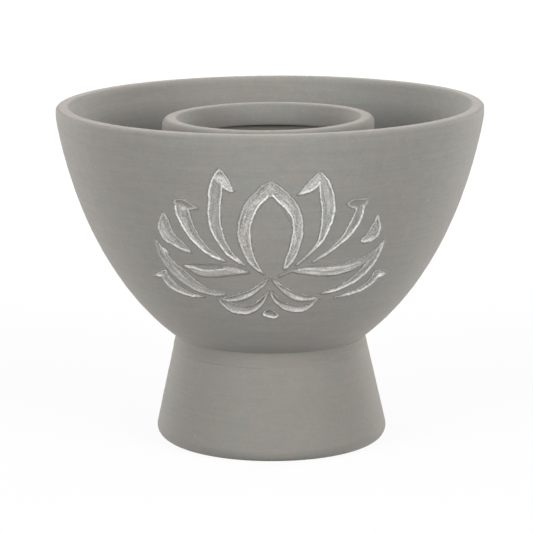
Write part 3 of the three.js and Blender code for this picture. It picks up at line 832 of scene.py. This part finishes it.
def cut(wash, left_line, right_line, points):
    """What one pass leaves at each carved point: distance outside its edge, distance along it and off
    its middle, wash held, more of it on the lower flank (partly wash, partly painted light on that
    upward-facing flank), and the line held along the nearer edge."""
    gap, along, off, half, _, lower = trace(points).T
    narrow = np.clip(half / FULL_STROKE, THINNEST_WASH, 1)
    held = wash * narrow * (1 + LOWER_FLANK_WASH_AND_PAINTED_LIGHT * lower)
    line = narrow * np.where(off > 0, right_line, left_line)
    return np.column_stack([gap + edge_wander, along, off, held, line])


def nearest_cut(cuts):
    """At each carved point, the cut whose edge is nearest or that lies deepest."""
    cuts = np.stack(cuts)
    return np.take_along_axis(cuts, cuts[..., :1].argmin(axis=0)[None], axis=0)[0]


petal_cuts = {}
for petal, passes in PETALS.items():
    petal_cuts[petal] = nearest_cut([cut(*one_pass) for one_pass in passes])
whole_cut = nearest_cut(list(petal_cuts.values()))
sunk = np.clip(-whole_cut[:, 0] / GROOVE_FLANK, 0, 1)
chatter_place = whole_cut[:, 1:3] / np.array([CHATTER_LENGTH, CHATTER_WIDTH])
chatter = CHATTER_HEIGHT * sunk * wander(np.minimum(chatter_place, FAR_AWAY), CHATTER_SEED)
burr = BURR_HEIGHT * np.exp(-(whole_cut[:, 0] / BURR_WIDTH) ** 2)
rise = burr + chatter - GROOVE_DEPTH * (1 - (1 - sunk) ** 2)
wall_out = wall_normal(coords[carved, 2])
out_of_wall = np.column_stack([
    wall_out[:, 0] * np.sin(turn_of[carved]),
    -wall_out[:, 0] * np.cos(turn_of[carved]),
    wall_out[:, 1],
])
coords[carved] += rise[:, None] * out_of_wall
bowl.data.vertices.foreach_set("co", (coords * MM).astype(np.float32).ravel())
bowl.data.update()

# White wash
# Thin white slip brushed over the carving and wiped off the wall. A film of it stays in each petal's
# groove: a bright line caught along both edges, streaks along the tool marks, and clay showing through.
FILM_REACH = 0.5
SCORE_REACH = 0.3
SCORE_FADE = 0.4
SCORE_CUTOFF = 0.9
FILM_PROUD = 0.03
FILM_SUNK = 0.1
EDGE_LINE_INSIDE = 0.12
EDGE_LINE_CORE = 0.12
EDGE_LINE_FADE = 0.28
EDGE_BREAK = 0.8
# Painted shade on the bare clay of the cut, and a painted shadow line just outside the edge beside the burr.
CUT_PAINTED_SHADE = 0.9
SHADE_REACH = 0.4
SHADE_LINE = 0.3
SHADE_LINE_CORE = 0.06
SHADE_LINE_FADE = 0.22
SHADE_LINE_DEPTH = 0.28
STREAK_LENGTH = 6.0
STREAK_WIDTH = 0.34
CRUMB_SIZE = 0.4
THIN_WASH = 0.84
THICK_WASH = 1.2
WASH_FADE = 0.35
BROKEN_BELOW = 0.36
WHOLE_ABOVE = 0.52
BROKEN_SHARE = 0.55
FLAKE_FROM = 0.56
FLAKE_FULL = 0.66
FLAKE_REACH = 0.6
SCORE_EDGE = 0.1
SCORE_BARE = 0.3
SCORE_CORE = 0.55
SCORE_RIM = 1.45
WASH_COLOUR = "#efeeeb"
score_slots = ["score_" + str(slot) for slot in range(max(len(lines) for lines in SCORES.values()))]


def white_wash():
    """Dry white slip on grey clay: chalky, brightest at the groove's edges, broken and streaked, with painted
    shade in the cut.
    """
    material = fired_clay("white_wash_on_clay", CLAY_COOL, CLAY_WARM, BOWL_WEAR)
    tree = material.node_tree
    shader = tree.nodes["clay"]
    bare = shader.inputs["Base Color"].links[0].from_socket
    outside = add_node(tree, "ShaderNodeAttribute", attribute_name="outside_edge")["Fac"]
    held = add_node(tree, "ShaderNodeAttribute", attribute_name="wash_held")["Fac"]
    edge_held = add_node(tree, "ShaderNodeAttribute", attribute_name="edge_held")["Fac"]
    stroke = add_node(tree, "ShaderNodeAttribute", attribute_name="stroke")["Vector"]
    place = add_node(tree, "ShaderNodeTexCoord")["Object"]
    along = add_node(tree, "ShaderNodeMapping", {
        "Vector": stroke,
        "Scale": (1 / STREAK_LENGTH, 1 / STREAK_WIDTH, 1.0),
    })[0]
    patterns = []
    for pattern_place, scale, detail in (
        (along, 1.0, 3.0),
        (place, 1 / (CRUMB_SIZE * MM), 3.0),
        (place, 1 / (EDGE_BREAK * MM), 2.0),
    ):
        patterns.append(add_node(tree, "ShaderNodeTexNoise", {
            "Vector": pattern_place,
            "Scale": scale,
            "Detail": detail,
        })[0])
    streaks, crumbs, broken = patterns

    # The film in the groove, streaked along the stroke.
    rough = add_node(tree, "ShaderNodeMath", {0: streaks, 1: crumbs}, operation="ADD")[0]
    thick = add_node(tree, "ShaderNodeMapRange", {
        "Value": rough,
        "From Min": THIN_WASH,
        "From Max": THICK_WASH,
    })[0]
    inside = add_node(tree, "ShaderNodeMapRange", {
        "Value": outside,
        "From Min": 0.0,
        "From Max": -WASH_FADE,
    })[0]
    filled = add_node(tree, "ShaderNodeMath", {0: thick, 1: held}, operation="MULTIPLY")[0]
    white_share = add_node(tree, "ShaderNodeMath", {0: filled, 1: inside}, operation="MULTIPLY")[0]

    # The line caught along the edge, and the flakes beside it.
    unbroken = add_node(tree, "ShaderNodeMapRange", {
        "Value": broken,
        "From Min": BROKEN_BELOW,
        "From Max": WHOLE_ABOVE,
        "To Min": BROKEN_SHARE,
        "To Max": 1.0,
    })[0]
    inward = add_node(tree, "ShaderNodeMath", {0: outside, 1: EDGE_LINE_INSIDE}, operation="ADD")[0]
    from_line = add_node(tree, "ShaderNodeMath", {0: inward}, operation="ABSOLUTE")[0]
    line = add_node(tree, "ShaderNodeMapRange", {
        "Value": from_line,
        "From Min": EDGE_LINE_FADE,
        "From Max": EDGE_LINE_CORE,
        "To Max": edge_held,
    }, interpolation_type="SMOOTHSTEP")[0]
    flake = add_node(tree, "ShaderNodeMapRange", {
        "Value": crumbs,
        "From Min": FLAKE_FROM,
        "From Max": FLAKE_FULL,
        "To Max": edge_held,
    })[0]
    by_edge = add_node(tree, "ShaderNodeMapRange", {
        "Value": from_line,
        "From Min": FLAKE_REACH,
        "From Max": EDGE_LINE_FADE,
    })[0]

    # The ridges that the tool tore up, white where the film is thick.
    within = add_node(tree, "ShaderNodeMapRange", {
        "Value": outside,
        "From Min": SCORE_EDGE,
        "From Max": -SCORE_EDGE,
    })[0]
    patchy = add_node(tree, "ShaderNodeMapRange", {"Value": thick, "To Min": SCORE_BARE, "To Max": 1.0})[0]
    patchy = add_node(tree, "ShaderNodeMath", {0: patchy, 1: within}, operation="MULTIPLY")[0]
    covers = [(line, unbroken), (flake, by_edge)]
    for slot in score_slots:
        score = add_node(tree, "ShaderNodeAttribute", attribute_name=slot)["Vector"]
        score_parts = add_node(tree, "ShaderNodeSeparateXYZ", {0: score})
        from_score = add_node(tree, "ShaderNodeMath", {0: score_parts["X"]}, operation="ABSOLUTE")[0]
        across = add_node(tree, "ShaderNodeMath", {0: from_score, 1: score_parts["Y"]}, operation="DIVIDE")[0]
        ridge = add_node(tree, "ShaderNodeMapRange", {
            "Value": across,
            "From Min": SCORE_RIM,
            "From Max": SCORE_CORE,
            "To Max": score_parts["Z"],
        }, interpolation_type="SMOOTHSTEP")[0]
        covers.append((ridge, patchy))
    for cover, share in covers:
        covered = add_node(tree, "ShaderNodeMath", {0: cover, 1: share}, operation="MULTIPLY")[0]
        white_share = add_node(tree, "ShaderNodeMath", {0: white_share, 1: covered}, operation="MAXIMUM")[0]

    # Painted shade: the bare clay of the cut is darkened, and a painted shadow line runs just outside the
    # edge, beside the burr.
    shade = add_node(tree, "ShaderNodeMapRange", {
        "Value": outside,
        "From Max": SHADE_REACH,
        "To Min": CUT_PAINTED_SHADE,
        "To Max": 1.0,
    })[0]
    past_line = add_node(tree, "ShaderNodeMath", {0: outside, 1: SHADE_LINE}, operation="SUBTRACT")[0]
    from_shade = add_node(tree, "ShaderNodeMath", {0: past_line}, operation="ABSOLUTE")[0]
    burr_painted_shadow = add_node(tree, "ShaderNodeMapRange", {
        "Value": from_shade,
        "From Min": SHADE_LINE_FADE,
        "From Max": SHADE_LINE_CORE,
        "To Max": SHADE_LINE_DEPTH,
    }, interpolation_type="SMOOTHSTEP")[0]
    burr_painted_shadow = add_node(tree, "ShaderNodeMath", {0: burr_painted_shadow, 1: unbroken}, operation="MULTIPLY")[0]
    lit_share = add_node(tree, "ShaderNodeMath", {0: 1.0, 1: burr_painted_shadow}, operation="SUBTRACT")[0]
    shade = add_node(tree, "ShaderNodeMath", {0: shade, 1: lit_share}, operation="MULTIPLY")[0]
    shaded = add_node(tree, "ShaderNodeVectorMath", {0: bare, "Scale": shade}, operation="SCALE")[0]
    washed = add_node(tree, "ShaderNodeMix", {
        "Factor": white_share,
        6: shaded,
        7: linear(WASH_COLOUR),
    }, data_type="RGBA")[2]
    tree.links.new(washed, shader.inputs["Base Color"])
    return material


wash_film = white_wash()
row_of_carved = np.full(len(coords), -1)
row_of_carved[carved] = np.arange(len(carved))
corners = np.array([face.vertices[:] for face in bowl.data.polygons if len(face.vertices) == 4])
carved_corners = row_of_carved[corners]
carved_corners = carved_corners[(carved_corners >= 0).all(axis=1)]


def film_mesh(name, cuts, lines, corners):
    """A thin closed skin over these carved faces, with the cuts and scores kept on its points."""
    used, corners = np.unique(corners, return_inverse=True)
    corners = corners.reshape(-1, 4)
    count = len(used)
    places = coords[carved[used]]
    top = places + FILM_PROUD * out_of_wall[used]
    bottom = places - FILM_SUNK * out_of_wall[used]
    edges = np.concatenate([corners[:, [side, (side + 1) % 4]] for side in range(4)])
    edge_list = {tuple(edge) for edge in edges.tolist()}
    rim = np.array([edge for edge in edges.tolist() if (edge[1], edge[0]) not in edge_list])
    sides = np.column_stack([rim[:, 1], rim[:, 0], rim[:, 0] + count, rim[:, 1] + count])
    faces = np.concatenate([corners, corners[:, ::-1] + count, sides])
    mesh = bpy.data.meshes.new(name)
    mesh.from_pydata((np.concatenate([top, bottom]) * MM).tolist(), [], faces.tolist())
    on_points = {"outside_edge": cuts[:, 0], "wash_held": cuts[:, 3], "edge_held": cuts[:, 4]}
    for attribute, values in on_points.items():
        both = np.tile(values[used], 2).astype(np.float32)
        mesh.attributes.new(attribute, "FLOAT", "POINT").data.foreach_set("value", both)
    flat = np.zeros(len(cuts))
    vectors = {"stroke": np.column_stack([cuts[:, 1], cuts[:, 2], flat]), **dict(zip(score_slots, lines))}
    for attribute, values in vectors.items():
        both = np.tile(values[used], (2, 1)).astype(np.float32)
        mesh.attributes.new(attribute, "FLOAT_VECTOR", "POINT").data.foreach_set("vector", both.ravel())
    mesh.polygons.foreach_set("use_smooth", np.ones(len(mesh.polygons), bool))
    mesh.materials.append(wash_film)
    return mesh


gaps = np.stack([cuts[carved_corners, 0].mean(axis=1) for cuts in petal_cuts.values()])
owner = gaps.argmin(axis=0)
for number, (petal, cuts) in enumerate(petal_cuts.items()):
    name = "white_wash_film_" + petal
    covered = gaps[number] < FILM_REACH
    lines = []
    for strength, points in SCORES.get(petal, []):
        gap, _, off, half, to_end, _ = trace(points).T
        covered |= gap[carved_corners].mean(axis=1) < SCORE_REACH
        shown = strength * np.clip(to_end / SCORE_FADE, 0, 1) * (gap < SCORE_CUTOFF)
        lines.append(np.column_stack([off, np.where(shown > 0, half, THIN_STROKE), shown]))
    film_corners = carved_corners[covered & (owner == number)]
    film = bpy.data.objects.new(name, film_mesh(name, cuts, lines, film_corners))
    bpy.context.scene.collection.objects.link(film)
    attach(film, "root")
    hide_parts("white_wash_" + petal)

# Foot
# A hollow cone of the same grey clay, thrown by itself and open below, with a sponged lower edge.
# It is luted to the bowl's underside, a little off the bowl's axis.
FOOT_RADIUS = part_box("foot")[1].x / MM
FOOT_EDGE_RADIUS = 3.3
FOOT_BASE_WIDTH = 8
FOOT_LEAN = -0.011
FOOT_COOL = "#8b8c86"
FOOT_WARM = "#918a84"
FOOT_WEAR = 0.55
SEAT_WIDTH = 6
LUTED_GAP = 1.2
edge_centre = np.array([FOOT_RADIUS - FOOT_EDGE_RADIUS, FOOT_EDGE_RADIUS])


def wall_height(radius):
    """Height of the wall's outside at a radius."""
    return ellipse_height - half_height * math.sqrt(1 - (radius / half_width) ** 2)


seat = climb(SEAM_HEIGHT, wall_height(SEAM_RADIUS - SEAT_WIDTH), LUTED_GAP)
to_edge = edge_centre - seat[0]
cone_angle = math.atan2(to_edge[1], to_edge[0]) + math.asin(FOOT_EDGE_RADIUS / np.linalg.norm(to_edge))
foot_inner = [FOOT_RADIUS - FOOT_BASE_WIDTH, 0]
foot_edge = arc(edge_centre, FOOT_EDGE_RADIUS, -math.pi / 2, cone_angle + math.pi / 2)
foot_profile = joined(
    evenly([foot_inner, foot_edge[0]], PLAIN_ROW),
    evenly(foot_edge, LIP_ROW),
    evenly([foot_edge[-1], seat[0]], PLAIN_ROW),
    evenly(seat, PLAIN_ROW),
    evenly([seat[-1], foot_inner], PLAIN_ROW),
)
foot_clay = fired_clay("unglazed_foot_clay", FOOT_COOL, FOOT_WARM, FOOT_WEAR)
foot = thrown("thrown_foot", foot_profile, foot_clay, {
    "Out of round": 0.05 * MM,
    "Off centre": 0.48 * MM,
    "Lean": FOOT_LEAN,
    "Seed": 8,
})
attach(foot, "root")
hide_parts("foot")

# Slip at the foot
# Wet clay slip that lutes the bowl to the foot. What was squeezed out is wiped level with the foot's
# cone, and a thin smear of it stays on the foot's upper edge.
SMEAR_LENGTH = 3.4
SMEAR_PROUD = 0.06
SMEAR_TUCK = 0.2
SMEAR_FADE = 0.7
SLIP_RISE = 1.35
SLIP_TUCK = 0.6
SLIP_PAST_SEAT = 1.5
SLIP_CLEAR = 0.02
SLIP_BED = 1.15
SLIP_BED_ROW = 0.3
SLIP_ROW = 0.15
SLIP_WIPES = 4
SLIP_COOL = "#8b8b85"
SLIP_WARM = "#908982"
SLIP_PAINTED_SHADE = 0.93
CREVICE_PAINTED_SHADE = 0.86
CREVICE_HEIGHT = 0.5
slip_clay = fired_clay("grey_clay_slip", SLIP_COOL, SLIP_WARM, FOOT_WEAR)
cone_down = (foot_edge[-1] - seat[0]) / np.linalg.norm(foot_edge[-1] - seat[0])
cone_out = np.array([-cone_down[1], cone_down[0]])
smear_end = seat[0] + SMEAR_LENGTH * cone_down
up_to_wall = seat[0] - SLIP_RISE * cone_down
slip_inner = np.array([wall_height(SEAM_RADIUS - SEAT_WIDTH - SLIP_PAST_SEAT)])
slip_top = wall_at(slip_inner, SLIP_CLEAR)[0]
slip_bottom = wall_at(slip_inner, SLIP_BED)[0]
slip_face = np.array([
    smear_end - SMEAR_TUCK * cone_out,
    smear_end + 0.5 * SMEAR_PROUD * cone_out - SMEAR_TUCK * cone_down,
    smear_end + SMEAR_PROUD * cone_out - SMEAR_FADE * cone_down,
    seat[0] + SMEAR_PROUD * cone_out,
    up_to_wall + SMEAR_PROUD * cone_out,
    up_to_wall - SLIP_TUCK * cone_out,
])
foot_slip_profile = joined(
    softened(evenly(slip_face, SLIP_ROW), SLIP_WIPES),
    evenly([slip_face[-1], slip_top], PLAIN_ROW),
    evenly([slip_top, slip_bottom], SLIP_BED_ROW),
    evenly([slip_bottom, slip_face[0]], PLAIN_ROW),
)
crevice = seat[0, 1] + LUTED_GAP
# Painted shade: the slip's colour darkens towards the seam under the bowl, and more so in a thin line at the
# crevice between the bowl and the slip.
paint_shade_by_height(slip_clay, (smear_end[1], seat[0, 1]), (1.0, SLIP_PAINTED_SHADE))
paint_shade_by_height(slip_clay, (crevice - CREVICE_HEIGHT, crevice), (1.0, CREVICE_PAINTED_SHADE))
foot_slip = thrown("foot_slip_bead", foot_slip_profile, slip_clay, {
    "Mark height": 0.07 * MM,
    "Mark length": 12 * MM,
    "Mark pitch": 1.2 * MM,
    "Out of round": 0.03 * MM,
    "Off centre": 0.12 * MM,
    "Seed": 5,
})
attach(foot_slip, "root")
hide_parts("foot_slip")

# Collar
# A straight tube thrown by itself and luted to the bowl's floor. Its lip is rolled in thicker than
# its wall, so it hangs a little over the well. Below the lip its colour is darkened by painted shade.
collar_low, collar_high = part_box("collar")
COLLAR_RADIUS = collar_high.x / MM
COLLAR_SUNK = 0.22
COLLAR_TOP = collar_high.z / MM - COLLAR_SUNK
COLLAR_LIP = 4.5
COLLAR_LIP_HEIGHT = 7
COLLAR_OUTER_EDGE = 1.6
COLLAR_INNER_EDGE = 0.7
COLLAR_TILT = math.radians(0.72)
COLLAR_WALL = 2.8
COLLAR_ROW = 0.4
COLLAR_PAINTED_SHADE = 0.78
COLLAR_PAINTED_SHADE_BELOW = 2.6
BED_BELOW_SEAM = 5
BED_ABOVE_SEAM = 12
collar_bore = COLLAR_RADIUS - COLLAR_LIP
outer_edge = [COLLAR_RADIUS - COLLAR_OUTER_EDGE, COLLAR_TOP - COLLAR_OUTER_EDGE]
inner_edge = [collar_bore + COLLAR_INNER_EDGE, COLLAR_TOP - COLLAR_INNER_EDGE]
well_radius = COLLAR_RADIUS - COLLAR_WALL
lip_end = COLLAR_TOP - COLLAR_LIP_HEIGHT
bed = climb(SEAM_HEIGHT - BED_BELOW_SEAM, SEAM_HEIGHT + BED_ABOVE_SEAM, -BOWL_WALL - LUTED_GAP)
collar_seat = bed[(bed[:, 0] > well_radius) & (bed[:, 0] < COLLAR_RADIUS)]
collar_inside = [
    [collar_bore, inner_edge[1]],
    [collar_bore, lip_end],
    [well_radius, lip_end],
    [well_radius, collar_seat[0, 1]],
]
collar_foot = [COLLAR_RADIUS, collar_seat[-1, 1]]
collar_profile = joined(
    evenly([collar_foot, [COLLAR_RADIUS, outer_edge[1]]], PLAIN_ROW),
    evenly(arc(outer_edge, COLLAR_OUTER_EDGE, 0, math.pi / 2), LIP_ROW),
    evenly([[outer_edge[0], COLLAR_TOP], [inner_edge[0], COLLAR_TOP]], LIP_ROW),
    evenly(arc(inner_edge, COLLAR_INNER_EDGE, math.pi / 2, math.pi), EDGE_ROW),
    softened(evenly(collar_inside, COLLAR_ROW), SPONGED),
    evenly(collar_seat, PLAIN_ROW),
    evenly([collar_seat[-1], collar_foot], PLAIN_ROW),
)
# A copy of the bowl's clay, kept apart to carry painted shade from the lip's lower end up to a little below
# the top.
collar_clay_painted_shade = fired_clay("unglazed_grey_clay_of_the_collar_with_painted_shade", CLAY_COOL, CLAY_WARM, BOWL_WEAR)
paint_shade_by_height(collar_clay_painted_shade, (lip_end, COLLAR_TOP - COLLAR_PAINTED_SHADE_BELOW), (COLLAR_PAINTED_SHADE, 1.0))
collar = thrown("thrown_collar", collar_profile, collar_clay_painted_shade, {
    "Out of round": 0.08 * MM,
    "Tilt": math.tan(COLLAR_TILT),
    "Tilt from": collar_low.z,
    "Tilt to": collar_high.z,
    "Off centre": -0.55 * MM,
    "Seed": 12,
})
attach(collar, "root")
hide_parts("collar")

# Slip at the collar
# Wet clay slip that beds the collar on the bowl's floor, the same that lutes the foot. It is wiped
# to a low fillet on both sides of the collar's wall.
FILLET_SMEAR = 1.5
FILLET_RISE = 1.0
FILLET_FULLNESS = 0.7
FILLET_ROW = 0.4
FILLET_BELOW_SEAM = 6
FILLET_ABOVE_SEAM = 14
under = climb(SEAM_HEIGHT - FILLET_BELOW_SEAM, SEAM_HEIGHT + FILLET_ABOVE_SEAM, -BOWL_WALL - SLIP_CLEAR)
in_well = under[:, 0] > well_radius - FILLET_SMEAR
under = under[in_well & (under[:, 0] < COLLAR_RADIUS + FILLET_SMEAR)]
crown = (under[:, :1] - under[0, 0]) / (under[-1, 0] - under[0, 0])
over = under + np.array([[0, 1]]) * (FILLET_RISE + LUTED_GAP) * np.sin(math.pi * crown) ** FILLET_FULLNESS
collar_slip_profile = joined(evenly(under, FILLET_ROW), evenly(over[::-1], FILLET_ROW))
collar_slip = thrown("collar_slip_fillet", collar_slip_profile, slip_clay, {
    "Out of round": 0.1 * MM,
    "Seed": 9,
})
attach(collar_slip, "root")
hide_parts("collar_slip")

# Floor
# A plain white sheet of paper that the bowl stands on. It shows as white, and a little darker by the
# bowl, and it keeps the bowl's soft shadow.
FLOOR_HALF = 3.0
FLOOR_LEVEL = -0.05 * MM
GLOW_BY_BOWL = 0.92
GLOW_NEAR = 0.1
GLOW_FAR = 0.6
PAPER_COLOUR = "#505050"
WHITE = (1.0, 1.0, 1.0, 1.0)
floor_mesh = bpy.data.meshes.new("floor")
floor_sides = ((-1, -1), (1, -1), (1, 1), (-1, 1))
floor_corners = [(side * FLOOR_HALF, depth * FLOOR_HALF, FLOOR_LEVEL) for side, depth in floor_sides]
floor_mesh.from_pydata(floor_corners, [], [(0, 1, 2, 3)])
floor = bpy.data.objects.new("floor", floor_mesh)
bpy.context.scene.collection.objects.link(floor)
# Matte white paper. Its own colour is dark, so that little light is thrown back up under the bowl.
paper = bpy.data.materials.new("white_paper")
paper.use_nodes = True
paper_tree = paper.node_tree
paper_tree.nodes.clear()
rays = add_node(paper_tree, "ShaderNodeLightPath")
seen = rays["Is Camera Ray"]
for ray in ("Is Glossy Ray", "Is Transmission Ray"):
    seen = add_node(paper_tree, "ShaderNodeMath", {0: seen, 1: rays[ray]}, operation="MAXIMUM")[0]
on_sheet = add_node(paper_tree, "ShaderNodeTexCoord")["Object"]
from_bowl = add_node(paper_tree, "ShaderNodeVectorMath", {0: on_sheet}, operation="LENGTH")["Value"]
sheet_glow = add_node(paper_tree, "ShaderNodeMapRange", {
    "Value": from_bowl,
    "From Min": GLOW_NEAR,
    "From Max": GLOW_FAR,
    "To Min": GLOW_BY_BOWL,
    "To Max": 1.0,
})[0]
glow_strength = add_node(paper_tree, "ShaderNodeMath", {0: seen, 1: sheet_glow}, operation="MULTIPLY")[0]
glow = add_node(paper_tree, "ShaderNodeEmission", {"Color": WHITE, "Strength": glow_strength})[0]
sheet = add_node(paper_tree, "ShaderNodeBsdfDiffuse", {"Color": linear(PAPER_COLOUR)})[0]
lit = add_node(paper_tree, "ShaderNodeAddShader", {0: glow, 1: sheet})[0]
add_node(paper_tree, "ShaderNodeOutputMaterial", {"Surface": lit})
floor_mesh.materials.append(paper)

# Light
# A white backdrop that gives light in a low band behind the bowl, a large softbox at each front
# corner, a small low one at each back corner and a weak one overhead. The camera sees only white.
BACKDROP = 1.35
BACKDROP_FADE = 0.25
BACKDROP_TOP = 0.25
BACKDROP_END = 0.5
world = bpy.data.worlds.new("studio")
bpy.context.scene.world = world
world.use_nodes = True
world_tree = world.node_tree
world_tree.nodes.clear()
world_rays = add_node(world_tree, "ShaderNodeLightPath")
way = add_node(world_tree, "ShaderNodeTexCoord")["Generated"]
way_parts = add_node(world_tree, "ShaderNodeSeparateXYZ", {0: way})
backdrop = add_node(world_tree, "ShaderNodeMapRange", {
    "Value": way_parts["Y"],
    "From Min": -BACKDROP_FADE,
    "From Max": BACKDROP_FADE,
    "To Min": 0.0,
    "To Max": BACKDROP,
})[0]
off_level = add_node(world_tree, "ShaderNodeMath", {0: way_parts["Z"]}, operation="ABSOLUTE")[0]
low_share = add_node(world_tree, "ShaderNodeMapRange", {
    "Value": off_level,
    "From Min": BACKDROP_TOP,
    "From Max": BACKDROP_END,
    "To Min": 1.0,
    "To Max": 0.0,
})[0]
backdrop = add_node(world_tree, "ShaderNodeMath", {0: backdrop, 1: low_share}, operation="MULTIPLY")[0]
dome = add_node(world_tree, "ShaderNodeBackground", {"Color": WHITE, "Strength": backdrop})[0]
white = add_node(world_tree, "ShaderNodeBackground", {"Color": WHITE, "Strength": 1.0})[0]
shown = add_node(world_tree, "ShaderNodeMixShader", {0: world_rays["Is Camera Ray"], 1: dome, 2: white})[0]
add_node(world_tree, "ShaderNodeOutputWorld", {"Surface": shown})

BOWL_MIDDLE = Vector((0, 0, 0.06))
# Each softbox's place, width and height in metres, and its power in watts.
SOFTBOXES = {
    "top_softbox": ((0, 0.1, 1.0), (0.9, 0.9), 1.2),
    "left_softbox": ((-0.97, -0.83, 0.5), (0.8, 0.8), 18.2),
    "right_softbox": ((0.97, -0.83, 0.5), (0.8, 0.8), 19.0),
    "back_left_softbox": ((-0.9, 0.75, 0.17), (0.6, 0.3), 3.6),
    "back_right_softbox": ((0.9, 0.75, 0.17), (0.6, 0.3), 3.6),
}
for name, (lamp_place, lamp_size, power) in SOFTBOXES.items():
    lamp = bpy.data.lights.new(name, "AREA")
    lamp.shape = "RECTANGLE"
    lamp.size, lamp.size_y = lamp_size
    lamp.energy = power
    holder = bpy.data.objects.new(name, lamp)
    holder.location = lamp_place
    holder.rotation_euler = (BOWL_MIDDLE - Vector(lamp_place)).to_track_quat("-Z", "Y").to_euler()
    bpy.context.scene.collection.objects.link(holder)

# Camera
# A long lens in front of the bowl and a little above it, level from side to side and tipped down, so
# that the rim shows as a narrow ellipse.
SENSOR_WIDTH = 36
LENS = 179.73
CAMERA_PLACE = (-0.0011, -0.790, 0.2145)
TIPPED_DOWN = math.radians(11.62)
camera_data = bpy.data.cameras.new("camera")
camera_data.sensor_width = SENSOR_WIDTH
camera_data.lens = LENS
camera = bpy.data.objects.new("camera", camera_data)
camera.location = CAMERA_PLACE
camera.rotation_euler = (math.pi / 2 - TIPPED_DOWN, 0, 0)
bpy.context.scene.collection.objects.link(camera)
bpy.context.scene.camera = camera
